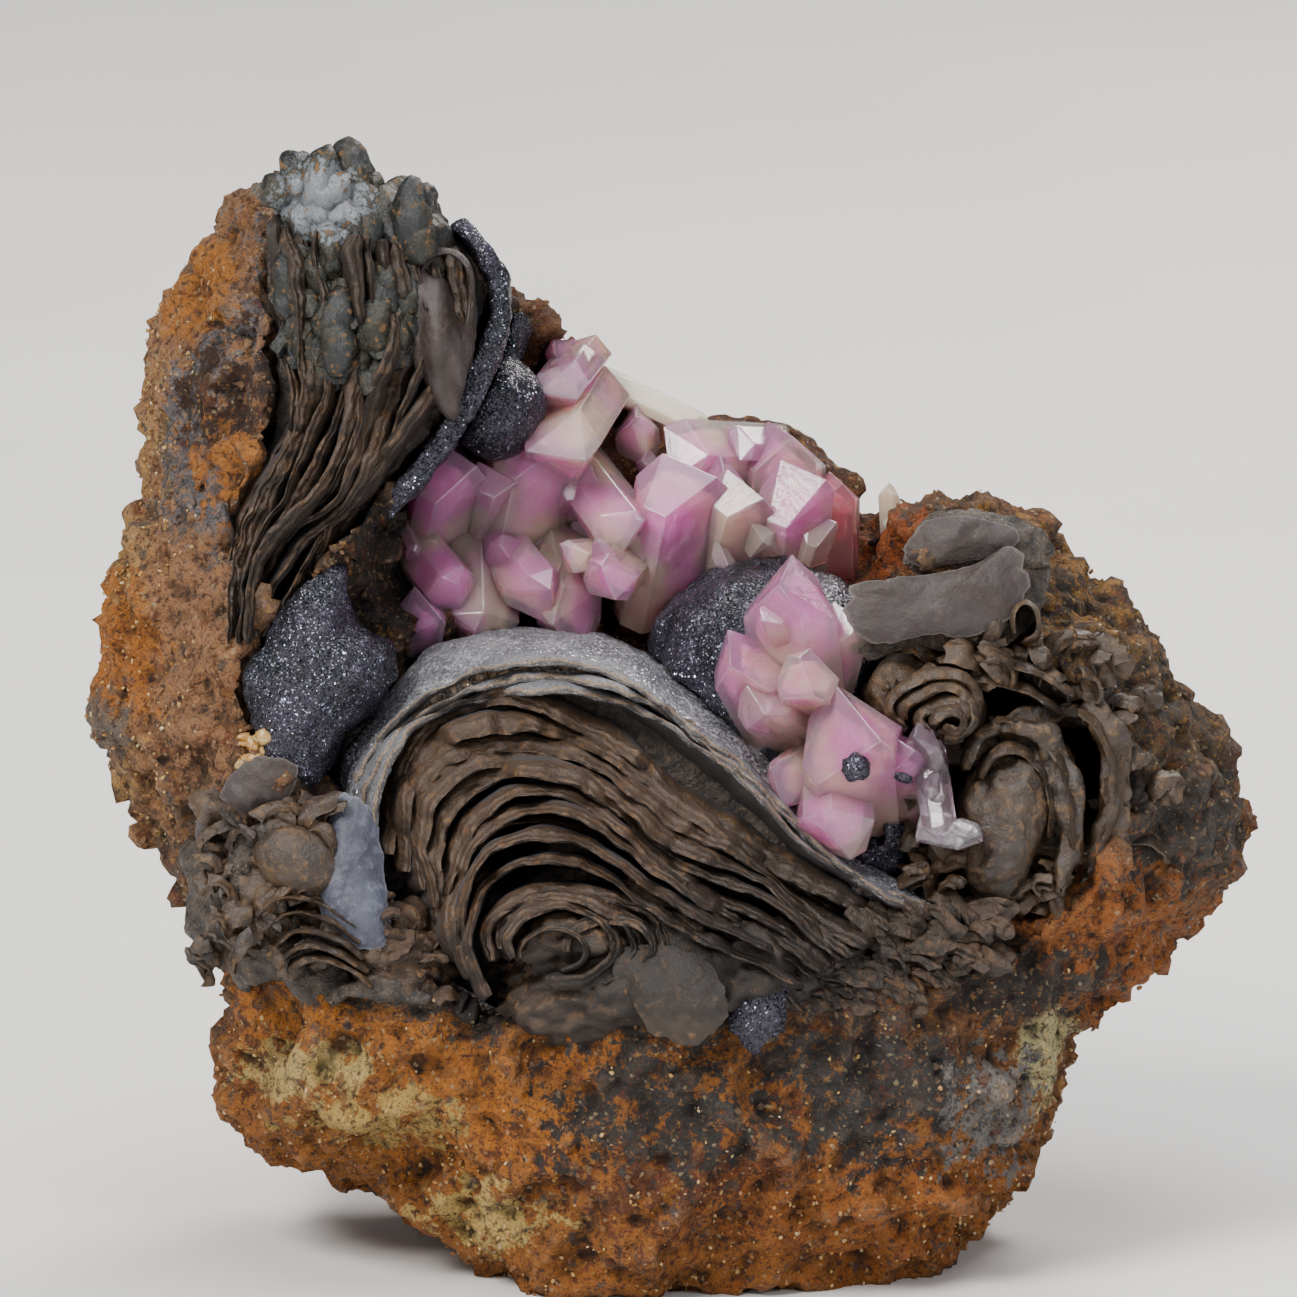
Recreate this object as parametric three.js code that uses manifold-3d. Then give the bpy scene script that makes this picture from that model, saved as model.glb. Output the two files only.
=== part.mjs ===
// A cabinet specimen of manganoan adamite: pink crystals in a pocket of rusty limonite, under broken shells of
// laminated goethite whose outer faces carry a dark sparkling druse.
// Millimetres, +Z up. Places are given as the specimen is seen from the front: X to the right, Y away from the
// viewer, Z up. The whole is then leaned back until its trimmed foot lies level, and the origin is under its
// middle. Every shape takes grow, which makes it larger all round, to leave clearance where pieces meet.

import * as THREE from "three";
import { ConvexGeometry } from "three/addons/geometries/ConvexGeometry.js";
import { ImprovedNoise } from "three/addons/math/ImprovedNoise.js";
import { mergeVertices } from "three/addons/utils/BufferGeometryUtils.js";
import Module from "manifold-3d";

const wasm = await Module();
wasm.setup();

// Driving dimensions

const LEAN = THREE.MathUtils.degToRad(12); // how far the specimen leans back on its foot
const FOOT_HEIGHT = 3.6; // height of the foot's cut below the middle of the rock
const ROCK_FRONT = 33; // the rock's bulge towards the viewer
const ROCK_BACK = 30; // and away from the viewer
const ROCK_MIDDLE = [-4, 2, 49];
const GAP = 0.3; // clearance round a piece that is set into another

// The rock's outline from the front, as x and z, clockwise from the left of the foot
const ROCK_OUTLINE = [
  [-21.5, 5], [-33, 12], [-40.5, 14.5], [-44.2, 20.5], [-43.8, 25.5], [-42, 30.5], [-45.2, 34.5],
  [-47.2, 40], [-50, 47], [-53, 51.5], [-57, 54.5], [-56.6, 57.8], [-53, 58.8], [-55.7, 64],
  [-54.8, 71], [-52, 79], [-50, 87], [-51, 93], [-48.8, 100.5], [-44.7, 102.8], [-44.4, 107.5],
  [-41.5, 112.5], [-37.5, 115.3], [-33, 113.5], [-26, 111], [-22, 107.8], [-20, 103.5], [-14, 99],
  [-8.5, 94], [-4, 89], [4, 84], [14, 79], [20, 76], [25, 78], [31.5, 79.8], [38, 75.5],
  [42.5, 71], [47, 69], [50, 63], [53, 58], [58.2, 52.5], [57.6, 45.5], [53.5, 37], [45, 29],
  [40.8, 25.5], [40.2, 19.5], [36, 11], [29, 3], [20, -2], [10, -5], [-6, -5.5], [-14, -2],
];

// Shaping tools

const grain = new ImprovedNoise();

// A smooth irregularity from -1 to 1 at a point, for lumps of the given size
const lumpAt = (p, size, shift = 0) =>
  grain.noise(p.x / size + shift, p.y / size + 7.3, p.z / size - shift);

const welded = (geometry) => {
  geometry.deleteAttribute("normal");
  geometry.deleteAttribute("uv");
  return mergeVertices(geometry, 1e-4);
};

// Moves every vertex of a geometry by a function of its place
const reshaped = (geometry, move) => {
  const made = welded(geometry);
  const place = made.getAttribute("position");
  const point = new THREE.Vector3();
  for (let i = 0; i < place.count; i++) {
    const moved = move(point.fromBufferAttribute(place, i));
    place.setXYZ(i, moved.x, moved.y, moved.z);
  }
  return made;
};

const solidOf = (geometry) => {
  const closed = welded(geometry);
  return new wasm.Manifold(
    new wasm.Mesh({
      numProp: 3,
      vertProperties: closed.getAttribute("position").array,
      triVerts: new Uint32Array(closed.index.array),
    }),
  );
};

const joined = (solids) => solids.reduce((whole, next) => whole.add(next));

// The largest body of a solid: a cut can leave crumbs, which fall away
const largest = (solid) =>
  solid.decompose().sort((a, b) => b.volume() - a.volume())[0];

// The distance from a middle point to an outline, as a function of the angle in the XZ plane
const reachOf = (outline, [mx, , mz]) => {
  const RIM_STEPS = 480;
  const rim = new THREE.CatmullRomCurve3(
    outline.map(([x, z]) => new THREE.Vector3(x - mx, 0, z - mz)),
    true,
    "centripetal",
  )
    .getPoints(RIM_STEPS)
    .map((p) => [Math.atan2(p.z, p.x), Math.hypot(p.x, p.z)])
    .sort((a, b) => a[0] - b[0]);
  return (angle) => {
    const after = rim.findIndex(([a]) => a >= angle);
    const [a1, r1] = rim[after < 0 ? 0 : after];
    const [a0, r0] = rim[after < 1 ? rim.length - 1 : after - 1];
    const span = THREE.MathUtils.euclideanModulo(a1 - a0, 2 * Math.PI) || 1;
    const share = THREE.MathUtils.euclideanModulo(angle - a0, 2 * Math.PI) / span;
    return THREE.MathUtils.lerp(r0, r1, share);
  };
};

// A body with a given outline from the front, which bulges towards the viewer and away from them
const moulded = ({ outline, middle, front, back, detail = 6, square = 2.4, rough = () => 0 }, grow = 0) => {
  const reach = reachOf(outline, middle);
  return solidOf(
    reshaped(new THREE.IcosahedronGeometry(1, detail), (d) => {
      const side = Math.hypot(d.x, d.z);
      const flat = reach(Math.atan2(d.z, d.x)) + grow;
      const depth = (d.y < 0 ? front : back) + grow;
      const radius = ((side / flat) ** square + (Math.abs(d.y) / depth) ** square) ** (-1 / square);
      const p = d.clone().multiplyScalar(radius).add(new THREE.Vector3(...middle));
      return p.addScaledVector(d, rough(p, d));
    }),
  );
};

// A rounded lump with a slightly uneven skin
const lump = ({ middle, radii, turn = [0, 0, 0], detail = 3, uneven = 0.08, seed = 0 }, grow = 0) =>
  solidOf(
    reshaped(new THREE.IcosahedronGeometry(1, detail), (d) => {
      const swell = 1 + uneven * lumpAt(d, 0.6, seed);
      return new THREE.Vector3(radii[0] + grow, radii[1] + grow, radii[2] + grow)
        .multiply(d)
        .multiplyScalar(swell)
        .applyEuler(new THREE.Euler(...turn))
        .add(new THREE.Vector3(...middle));
    }),
  );

// A thin leaf that follows a path in the XZ plane and runs back from its broken front edge. Its front dips
// towards a middle point by the share dip, and its edge is ragged
const leaf = (
  { path, thick, front, back, dip = 0, middle = [0, 0], ragged = 0, steps = 16, seed = 0 },
  grow = 0,
) => {
  const points = path.map(([x, z]) => new THREE.Vector3(x, 0, z));
  const curve = new THREE.CatmullRomCurve3(points, false, "centripetal");
  const length = curve.getLength();
  return solidOf(
    reshaped(new THREE.BoxGeometry(1, 1, 1, steps), (b) => {
      const along = b.x + 0.5;
      const edge = 0.5 - b.y;
      const at = curve.getPointAt(along);
      const run = curve.getTangentAt(along);
      const taper = 0.45 + 0.55 * Math.sin(Math.PI * THREE.MathUtils.clamp(along, 0.04, 0.96)) ** 0.5;
      const start = front - grow + ragged * grain.noise(along * length * 0.22, seed * 3.7, 0.5);
      const y = THREE.MathUtils.lerp(back + grow, start, edge);
      const inward = 1 - dip * edge ** 3;
      const off = b.z * (thick * taper + 2 * grow);
      const x = middle[0] + (at.x - middle[0]) * inward - run.z * off + run.x * grow * Math.sign(b.x);
      const z = middle[1] + (at.z - middle[1]) * inward + run.x * off + run.z * grow * Math.sign(b.x);
      return new THREE.Vector3(x, y, z);
    }),
  );
};

// A family of leaves nested from an outer path to an inner one
const nestedLeaves = ({ outer, inner, count, leafAt }, grow = 0) =>
  Array.from({ length: count }, (_, k) => {
    const share = k / (count - 1);
    const path = outer.map(([x, z], i) => [
      THREE.MathUtils.lerp(x, inner[i][0], share) + 0.5 * grain.noise(i * 0.9, k * 1.7, 0.2),
      THREE.MathUtils.lerp(z, inner[i][1], share) + 0.5 * grain.noise(i * 0.9, k * 1.7, 5.2),
    ]);
    return leaf({ path, seed: k, ...leafAt(k, share) }, grow);
  });

// One adamite crystal: a rhombic prism ended by a roof of two sloping faces
const crystal = ({ tip, root, wide, deep, roll = 0 }, grow = 0) => {
  const end = new THREE.Vector3(...tip);
  const start = new THREE.Vector3(...root);
  const length = end.distanceTo(start) + grow;
  const a = wide / 2 + 1.5 * grow;
  const b = deep / 2 + 1.5 * grow;
  const roof = Math.min(0.45 * deep, 0.6 * length) + grow;
  const corners = [
    [a, 0, -grow],
    [-a, 0, -grow],
    [0, b, -grow],
    [0, -b, -grow],
    [a, 0, length - 0.6 * roof],
    [-a, 0, length - 0.6 * roof],
    [0, b, length - roof],
    [0, -b, length - roof],
    [0.6 * a, 0, length],
    [-0.5 * a, 0, length],
  ];
  const up = new THREE.Vector3(0, 0, 1);
  const facing = new THREE.Quaternion()
    .setFromUnitVectors(up, end.sub(start).normalize())
    .multiply(new THREE.Quaternion().setFromAxisAngle(up, THREE.MathUtils.degToRad(roll)));
  const placed = corners.map((c) => new THREE.Vector3(...c).applyQuaternion(facing).add(start));
  return solidOf(new ConvexGeometry(placed));
};

const cluster = (crystals, grow = 0) => joined(crystals.map((c) => crystal(c, grow)));

// Blocks that hold everything in front of, behind or below a plane, for breaking a shell off, seating a piece
// in the rock and trimming the foot
const BLOCK = 300;
const aheadOf = (y) =>
  solidOf(new THREE.BoxGeometry(BLOCK, BLOCK, BLOCK).translate(0, y - BLOCK / 2, 0));
const behind = (y) =>
  solidOf(new THREE.BoxGeometry(BLOCK, BLOCK, BLOCK).translate(0, y + BLOCK / 2, 0));
const belowFoot = () =>
  solidOf(
    new THREE.BoxGeometry(BLOCK, BLOCK, BLOCK)
      .translate(0, 0, -BLOCK / 2)
      .rotateX(LEAN)
      .translate(0, 0, FOOT_HEIGHT),
  );

// Laminated dome: a broken botryoid in the middle of the front, like half an onion. Its leaves part at the
// broken face, each standing a little further out than the one above it, and are fused behind

const DOME_MIDDLE = [-6, -6, 42];
const DOME_OUTLINE = [
  [-33.8, 49], [-33, 54.5], [-30, 58.2], [-26.8, 60], [-25.1, 62.8], [-21.9, 65], [-17.8, 66.1],
  [-12.5, 66.2], [-7.3, 66], [-2.6, 64.5], [0.7, 62.4], [5.1, 59.2], [10, 55.4], [14, 50.5],
  [18.5, 45.2], [25, 40.6], [34, 36.6], [33, 30], [4, 25], [-21, 26], [-31, 37],
];
const DOME_OUTER_LEAF = [
  [-27.4, 43.5], [-27.2, 50.3], [-25, 55.2], [-20.8, 58.7], [-15.7, 60], [-10.4, 59], [-5.2, 55.6],
  [0.6, 50.8], [8, 46], [15.5, 41.2], [24, 36],
];
const DOME_INNER_LEAF = [
  [-17, 29.5], [-18.8, 35.5], [-17.8, 40.3], [-15, 42.8], [-11, 43.5], [-7.5, 43], [-3.5, 41],
  [1, 38.8], [5.5, 36.6], [10, 33.8], [14.5, 30.5],
];
const DOME_LEAVES = 8;
const DOME_SHELL = 1.7; // thickness of the outer sparkling shell
const DOME_FACE = -25; // where the shell is broken off
const DOME_FRONT = 31; // bulge of the shell towards the viewer, before it was broken
const DOME_BACK = 18;
const DOME_SEAT = -7; // where its back meets the rock

const inset = (outline, by) =>
  outline.map(([x, z]) => {
    const away = new THREE.Vector2(x - DOME_MIDDLE[0], z - DOME_MIDDLE[2]);
    away.setLength(away.length() - by);
    return [away.x + DOME_MIDDLE[0], away.y + DOME_MIDDLE[2]];
  });

// The whole dome at a depth below its outer face
const domeBody = (depth, grow = 0) =>
  moulded(
    {
      outline: inset(DOME_OUTLINE, depth),
      middle: DOME_MIDDLE,
      front: DOME_FRONT - depth,
      back: DOME_BACK - depth,
      detail: 4,
    },
    grow,
  );

const domeCore = (grow = 0) =>
  domeBody(DOME_SHELL + GAP, grow)
    .subtract(aheadOf(DOME_FACE + 3 - grow))
    .subtract(behind(DOME_SEAT + grow));

const domeLeaves = (grow = 0) =>
  nestedLeaves(
    {
      outer: DOME_OUTER_LEAF,
      inner: DOME_INNER_LEAF,
      count: DOME_LEAVES,
      leafAt: (k, share) => ({
        thick: 1.6 - 0.4 * share,
        front: DOME_FACE - 3 - 7 * share,
        back: DOME_FACE + 4,
        dip: 0.045,
        middle: [-8, 36],
        ragged: 2.2,
        steps: 8,
      }),
    },
    grow,
  );

// The tangled heart of the dome, with a swirl of leaves round a small eye
const domeHeart = (grow = 0) => [
  lump(
    { middle: [-3.5, -25, 33], radii: [14.5, 10, 7.5], turn: [0, 0.28, 0], detail: 1, uneven: 0.22, seed: 3 },
    grow,
  ),
  lump(
    { middle: [-8.5, -31, 35.6], radii: [6.5, 4, 3.6], turn: [0, 0.1, 0], detail: 1, uneven: 0.2, seed: 5 },
    grow,
  ),
];

const laminatedDome = (grow = 0) => joined([domeCore(grow), ...domeLeaves(grow), ...domeHeart(grow)]);

// The dome's outer shell: its sparkling back shows above the broken leaves
const domeDruseShell = (grow = 0) =>
  domeBody(0, grow)
    .subtract(domeBody(DOME_SHELL, -grow))
    .subtract(aheadOf(DOME_FACE + 0.6 - grow))
    .subtract(behind(DOME_SEAT + grow));

// Laminated column: leaves seen on edge, which run down the left side and pinch together above the left hollow

const COLUMN_LEFT_LEAF = [
  [-37.8, 106.5], [-38, 100], [-36.8, 94.5], [-36, 89.5], [-37.2, 85], [-40, 80], [-42.6, 75.5],
  [-44.2, 69],
];
const COLUMN_RIGHT_LEAF = [
  [-20.4, 104], [-19.4, 97.5], [-20.2, 93], [-22.4, 88.5], [-25.2, 84.5], [-28.8, 80], [-33, 75.5],
  [-35.6, 69],
];
const COLUMN_OUTLINE = [
  [-39.5, 108], [-36, 112], [-28, 111], [-21.5, 108], [-17, 101], [-17, 94], [-20, 86], [-27, 77.6],
  [-34, 70.4], [-40, 65], [-44.6, 66], [-44.6, 72], [-41.5, 79], [-38.4, 86], [-38.2, 95], [-39.6, 102],
];
const COLUMN_MIDDLE = [-29, -18, 91];
const COLUMN_LEAVES = 6;
const COLUMN_FACE = -22;
const COLUMN_SEAT = -12;

const columnBody = (grow = 0) =>
  moulded({ outline: COLUMN_OUTLINE, middle: COLUMN_MIDDLE, front: 14, back: 12, detail: 2 }, grow);

const laminatedColumn = (grow = 0) =>
  joined([
    columnBody(grow)
      .subtract(aheadOf(COLUMN_FACE + 3 - grow))
      .subtract(behind(COLUMN_SEAT + grow)),
    ...nestedLeaves(
      {
        outer: COLUMN_LEFT_LEAF,
        inner: COLUMN_RIGHT_LEAF,
        count: COLUMN_LEAVES,
        leafAt: (k, share) => ({
          thick: 1.7,
          front: COLUMN_FACE - 2.5 * Math.sin(Math.PI * share) - (k % 2),
          back: COLUMN_FACE + 5,
          ragged: 2.4,
          steps: 7,
        }),
      },
      grow,
    ),
    // Lumps and curled pieces at the head of the column
    lump(
      {
        middle: [-33.2, -19, 108.4], radii: [5.4, 5, 3.6],
        turn: [0, 0.3, 0], detail: 1, uneven: 0.35, seed: 1,
      },
      grow,
    ),
    lump(
      {
        middle: [-31, -20.5, 102], radii: [4, 4.4, 5.6],
        turn: [0, -0.3, 0], detail: 1, uneven: 0.35, seed: 2,
      },
      grow,
    ),
    lump(
      {
        middle: [-25.4, -20, 105.4], radii: [4.6, 4.6, 5],
        turn: [0, 0.5, 0], detail: 1, uneven: 0.35, seed: 4,
      },
      grow,
    ),
    lump({ middle: [-30.6, -22, 95.6], radii: [3.6, 3.4, 4.4], detail: 1, uneven: 0.3, seed: 6 }, grow),
    // The smooth lens on its right side
    lump(
      {
        middle: [-21.8, -20.5, 95.2], radii: [3, 5, 7.8],
        turn: [0, 0.22, 0], detail: 1, uneven: 0.05, seed: 8,
      },
      grow,
    ),
  ]);

const columnDruseRim = (grow = 0) =>
  leaf(
    {
      path: [
        [-20.5, 106], [-17.2, 102.5], [-16, 99.5], [-16.6, 95.5], [-18.4, 91], [-20.6, 86.5], [-23.6, 82.4],
        [-27, 78.6], [-30, 74.8], [-33.2, 72.6],
      ],
      thick: 2.4,
      front: COLUMN_FACE + 1,
      back: COLUMN_FACE + 15,
      dip: -0.02,
      middle: [-40, 90],
      ragged: 1.5,
      steps: 12,
    },
    grow,
  );

// Dark druse: botryoidal goethite with a sparkling skin

const upperDruseBall = (grow = 0) =>
  joined([
    lump({ middle: [-16.4, -9, 88], radii: [5.2, 6, 5.4], detail: 2, uneven: 0.06, seed: 1 }, grow),
    lump(
      {
        middle: [-15.4, -5.4, 95.4], radii: [2.6, 4, 5.4],
        turn: [0, 0.3, 0], detail: 1, uneven: 0.2, seed: 2,
      },
      grow,
    ),
  ]);

const LEFT_DRUSE_OUTLINE = [
  [-36, 73.4], [-31.4, 73], [-31, 69.2], [-29.4, 66], [-26.8, 65.2], [-26, 61.6], [-28, 58.4], [-31.4, 55.4],
  [-33, 52], [-36, 48.8], [-39.8, 48.8], [-41, 53], [-41, 58], [-42.4, 62.4], [-39.2, 65.2], [-37, 69.2],
];
const leftDruseSheet = (grow = 0) =>
  moulded(
    {
      outline: LEFT_DRUSE_OUTLINE,
      middle: [-34.4, -22, 60.5],
      front: 6,
      back: 13,
      detail: 3,
      rough: (p) => 1.2 * lumpAt(p, 6, 2),
    },
    grow,
  );

const druseMound = (grow = 0) =>
  joined([
    lump(
      { middle: [11, -7, 60.5], radii: [13.5, 15, 12.5], turn: [0, 0.5, 0], detail: 2, uneven: 0.1, seed: 2 },
      grow,
    ),
    lump({ middle: [21.5, -14, 45.8], radii: [5.4, 8, 6.6], detail: 1, uneven: 0.04, seed: 4 }, grow),
  ]);

const lowerDrusePatch = (grow = 0) =>
  lump(
    { middle: [9.6, -27, 28.6], radii: [4, 4.5, 5.4], turn: [0, 0.3, 0], detail: 2, uneven: 0.25, seed: 9 },
    grow,
  );

// Curled goethite leaves round the hollow on the right and at the dome's left foot

const upperPetal = (grow = 0) =>
  moulded(
    {
      outline: [
        [24.6, 73.4], [26, 75.6], [29, 77], [33, 76.4], [36, 75.8], [35, 73.6], [31.5, 72.4], [26.5, 72.2],
      ],
      middle: [30, -20, 74.4],
      front: 2.2,
      back: 6,
      detail: 2,
    },
    grow,
  );

const largePetal = (grow = 0) =>
  moulded(
    {
      outline: [
        [18.6, 68], [19.4, 70], [22, 71], [24.2, 72], [28, 71.9], [32.4, 72.4], [35, 73.2], [35.4, 69.6],
        [32.8, 66.8], [27.6, 65.8], [22, 65.4], [19.2, 66.2],
      ],
      middle: [27, -21.5, 69.2],
      front: 2.6,
      back: 9,
      detail: 2,
    },
    grow,
  );

const hollowCurlLeft = (grow = 0) =>
  joined([
    lump(
      { middle: [25.2, -17, 58.4], radii: [6, 8, 4.6], turn: [0, 0.7, 0], detail: 1, uneven: 0.1, seed: 1 },
      grow,
    ),
    lump({ middle: [28, -23, 57.6], radii: [3.6, 3.4, 3.2], detail: 1, uneven: 0.4, seed: 2 }, grow),
    leaf(
      {
        path: [[27, 61.6], [32, 62.4], [38, 60.8], [44, 58]],
        thick: 3, front: -19, back: -6, steps: 4, ragged: 2,
      },
      grow,
    ),
    leaf(
      {
        path: [[27, 53.6], [31, 53.4], [36, 57.4], [43, 58]],
        thick: 3, front: -21, back: -6, steps: 4, ragged: 2, seed: 4,
      },
      grow,
    ),
  ]);

const hollowCurlMain = (grow = 0) =>
  joined([
    lump(
      { middle: [34.4, -19, 47.4], radii: [5, 8, 8.8], turn: [0, 0.16, 0], detail: 2, uneven: 0.07, seed: 3 },
      grow,
    ),
    leaf(
      {
        path: [[32.6, 56.4], [37, 56.2], [40, 52], [40.6, 46], [39, 40]],
        thick: 2.6, front: -25, back: -8, steps: 8, ragged: 2,
      },
      grow,
    ),
  ]);

const hollowCurlRight = (grow = 0) =>
  leaf(
    {
      path: [[42, 59.5], [44.6, 56], [45.4, 51], [44.6, 45.5], [42.6, 40]],
      thick: 3.6, front: -22, back: -6, steps: 8, ragged: 2, seed: 2,
    },
    grow,
  );

const leftCurls = (grow = 0) =>
  joined([
    lump({ middle: [-38, -16, 38], radii: [8.5, 9, 8], detail: 2, uneven: 0.18, seed: 4 }, grow),
    lump({ middle: [-44, -13, 43], radii: [4, 6, 4.6], detail: 1, uneven: 0.35, seed: 6 }, grow),
    lump(
      { middle: [-30, -19, 31], radii: [8, 8.4, 4.6], turn: [0, 0.15, 0], detail: 1, uneven: 0.2, seed: 2 },
      grow,
    ),
    ...nestedLeaves(
      {
        outer: [[-42.4, 40], [-41.4, 44.6], [-37.6, 47.4], [-32.8, 47.2]],
        inner: [[-38.4, 38], [-37.6, 40.6], [-35.8, 42], [-33, 42]],
        count: 2,
        leafAt: (k) => ({
          thick: 2.4,
          front: -27.5 - k,
          back: -16,
          dip: 0.06,
          middle: [-36, 38],
          ragged: 1.2,
          steps: 5,
        }),
      },
      grow,
    ),
    ...nestedLeaves(
      {
        outer: [[-37.4, 32], [-34.6, 35.8], [-29.6, 36], [-24.6, 33.8], [-21, 32]],
        inner: [[-33, 29], [-31.4, 31], [-28.2, 31.2], [-24.6, 30.2], [-22, 29.4]],
        count: 2,
        leafAt: (k) => ({
          thick: 2,
          front: -28.5 - k,
          back: -16,
          dip: 0.06,
          middle: [-29, 28],
          ragged: 1.2,
          steps: 5,
        }),
      },
      grow,
    ),
  ]);

const lowerPlate = (grow = 0) =>
  moulded(
    {
      outline: [
        [-4.6, 33.6], [0, 34.8], [4.4, 33.2], [6.2, 30], [5.6, 27], [1.6, 25.8], [-1.6, 28], [-3, 30.6],
      ],
      middle: [1, -33, 30.4],
      front: 2.4,
      back: 6,
      detail: 2,
    },
    grow,
  );

// Crystals: each is given by its tip, its root, its width across and its depth

const POCKET_CRYSTALS = [
  // The pink ones on the left, from the top down
  { tip: [-10.2, -10, 89.4], root: [-7.5, 2, 93], wide: 5.4, deep: 5, roll: 80 },
  { tip: [-10.4, -13, 82.6], root: [-7, 2, 88.5], wide: 8.4, deep: 7.4, roll: 80 },
  { tip: [-19.5, -10, 84.3], root: [-22.5, 1, 72], wide: 9, deep: 7, roll: 40 },
  { tip: [-12, -8, 86.5], root: [-16, 1, 69], wide: 9, deep: 8, roll: 35 },
  { tip: [-19.6, -11, 69], root: [-26.5, 0, 77.5], wide: 5.6, deep: 5.6, roll: 30 },
  { tip: [-23.4, -12, 68.6], root: [-25, -1, 60], wide: 4.6, deep: 4.6, roll: 30 },
  // The pale long ones in the middle, and small ones between them
  { tip: [-10.8, -11, 68.2], root: [-18, 0, 77], wide: 6.2, deep: 5.6, roll: 20 },
  { tip: [-18, -9, 64.5], root: [-18.5, 0, 78], wide: 7.4, deep: 6.4, roll: 20 },
  { tip: [-8.4, -10, 65.5], root: [-10.6, 0, 76], wide: 6.6, deep: 6, roll: 45 },
  { tip: [-2.6, -10, 74.2], root: [-9, 1, 82.5], wide: 7, deep: 6, roll: -20 },
  { tip: [-6.4, -7, 81], root: [-12, 2, 76], wide: 5, deep: 4.6, roll: 10 },
  { tip: [-12.4, -4, 73], root: [-7, 3, 78], wide: 4.4, deep: 4 },
  { tip: [-5.4, -15, 70.6], root: [-2.6, 0, 74], wide: 5.2, deep: 4.8, roll: 20 },
  { tip: [-9.4, -12, 73], root: [-3, -3, 73.6], wide: 3.4, deep: 3.4, roll: 30 },
  { tip: [-2.6, 0, 88], root: [-1, 4, 77], wide: 4.2, deep: 4, roll: 20 },
  // The row on the right
  { tip: [2.6, -9, 82.2], root: [-0.4, -1, 67.6], wide: 9, deep: 8, roll: 40 },
  { tip: [8.6, -9, 80.6], root: [5.6, 0, 69.5], wide: 5.6, deep: 6, roll: 30 },
  { tip: [13.8, -9, 81.6], root: [12.6, 0, 68.5], wide: 6.2, deep: 6.6, roll: 50 },
  { tip: [12.4, -2, 86.2], root: [12.8, 3, 72], wide: 7.4, deep: 7, roll: 30 },
  { tip: [0.6, -3, 83.6], root: [12.5, 3, 83], wide: 5.6, deep: 6.4, roll: 20 },
  { tip: [6, -6, 82], root: [7, 2, 76], wide: 4, deep: 3.6, roll: 15 },
];

// The crystals of the pocket with the crust that they grew from
const pocketAdamite = (grow = 0) =>
  cluster(POCKET_CRYSTALS, grow).add(
    lump({ middle: [-4, 4.4, 77], radii: [23, 5, 10.5], turn: [0, 0.18, 0], detail: 2, uneven: 0.1 }, grow),
  );

const rimCrystal = (grow = 0) =>
  crystal({ tip: [17.7, -2, 81.3], root: [17.5, 3, 69.5], wide: 4.2, deep: 4.2, roll: 20 }, grow);

const smallRimCrystals = (grow = 0) =>
  cluster(
    [
      { tip: [22.9, 2, 80.6], root: [23.4, 5, 71], wide: 2, deep: 2 },
      { tip: [24, 1.6, 78.8], root: [24.2, 5, 71], wide: 3.2, deep: 3, roll: 25 },
    ],
    grow,
  );

const paleBlade = (grow = 0) =>
  cluster(
    [
      { tip: [4.6, 1, 85.6], root: [-8, 6, 91.8], wide: 3, deep: 3.2, roll: 10 },
      { tip: [-5.2, 2, 91.6], root: [-7.6, 7, 86], wide: 3.6, deep: 3.6, roll: 30 },
    ],
    grow,
  );

const upperLeftAdamite = (grow = 0) =>
  cluster(
    [
      { tip: [-13.2, -2, 97], root: [-10, 5, 93], wide: 3.2, deep: 3 },
      { tip: [-12, -1, 98.6], root: [-11, 5, 93], wide: 2.6, deep: 2.6, roll: 30 },
      { tip: [-10, -4, 94], root: [-9, 5, 92], wide: 3, deep: 2.6, roll: 10 },
    ],
    grow,
  );

const frontAdamite = (grow = 0) =>
  cluster(
    [
      { tip: [12.2, -25, 72], root: [14.4, -19, 60], wide: 8.4, deep: 8 },
      { tip: [18.6, -22, 68], root: [16, -17, 59], wide: 5.4, deep: 5, roll: 30 },
      { tip: [7.6, -25, 66.2], root: [11.6, -18, 56], wide: 7, deep: 6.6, roll: 25 },
      { tip: [12.2, -31, 61], root: [13.4, -16, 60], wide: 5, deep: 4.8, roll: 20 },
      { tip: [17.6, -27, 63], root: [14.6, -16, 58], wide: 5, deep: 5, roll: 40 },
      { tip: [17, -30, 59.6], root: [19.4, -18, 46.5], wide: 9, deep: 8.4, roll: 35 },
      { tip: [22.6, -27, 57], root: [24, -17, 46.5], wide: 6, deep: 6, roll: 50 },
      { tip: [18.4, -26, 44.6], root: [17.8, -18, 54], wide: 6.4, deep: 6, roll: 30 },
      { tip: [10.6, -23, 57.4], root: [16.5, -16, 49], wide: 4.6, deep: 4.6, roll: 10 },
      { tip: [12, -27, 58], root: [16, -16, 52], wide: 5, deep: 5, roll: 20 },
    ],
    grow,
  );

const brokenBlades = (grow = 0) =>
  cluster(
    [
      { tip: [27.8, -28, 45.2], root: [26.4, -24, 54.8], wide: 3.2, deep: 2.4, roll: 30 },
      { tip: [31.8, -27.4, 45.4], root: [25.6, -26, 46.6], wide: 3, deep: 2.4, roll: 60 },
      { tip: [25.6, -29, 56.2], root: [27.4, -24, 51.4], wide: 3, deep: 2.6 },
    ],
    grow,
  );

// The rock: rusty limonite, broken all over. Its front has the pocket, a hollow on the right, and the beds
// that the dome and the column grew on

const rockRoughness = (p, d) =>
  (0.35 + 0.65 * Math.min(1, 2 * Math.abs(d.y))) * (2.6 * lumpAt(p, 15) + 1.6 * lumpAt(p, 7, 3));

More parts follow.
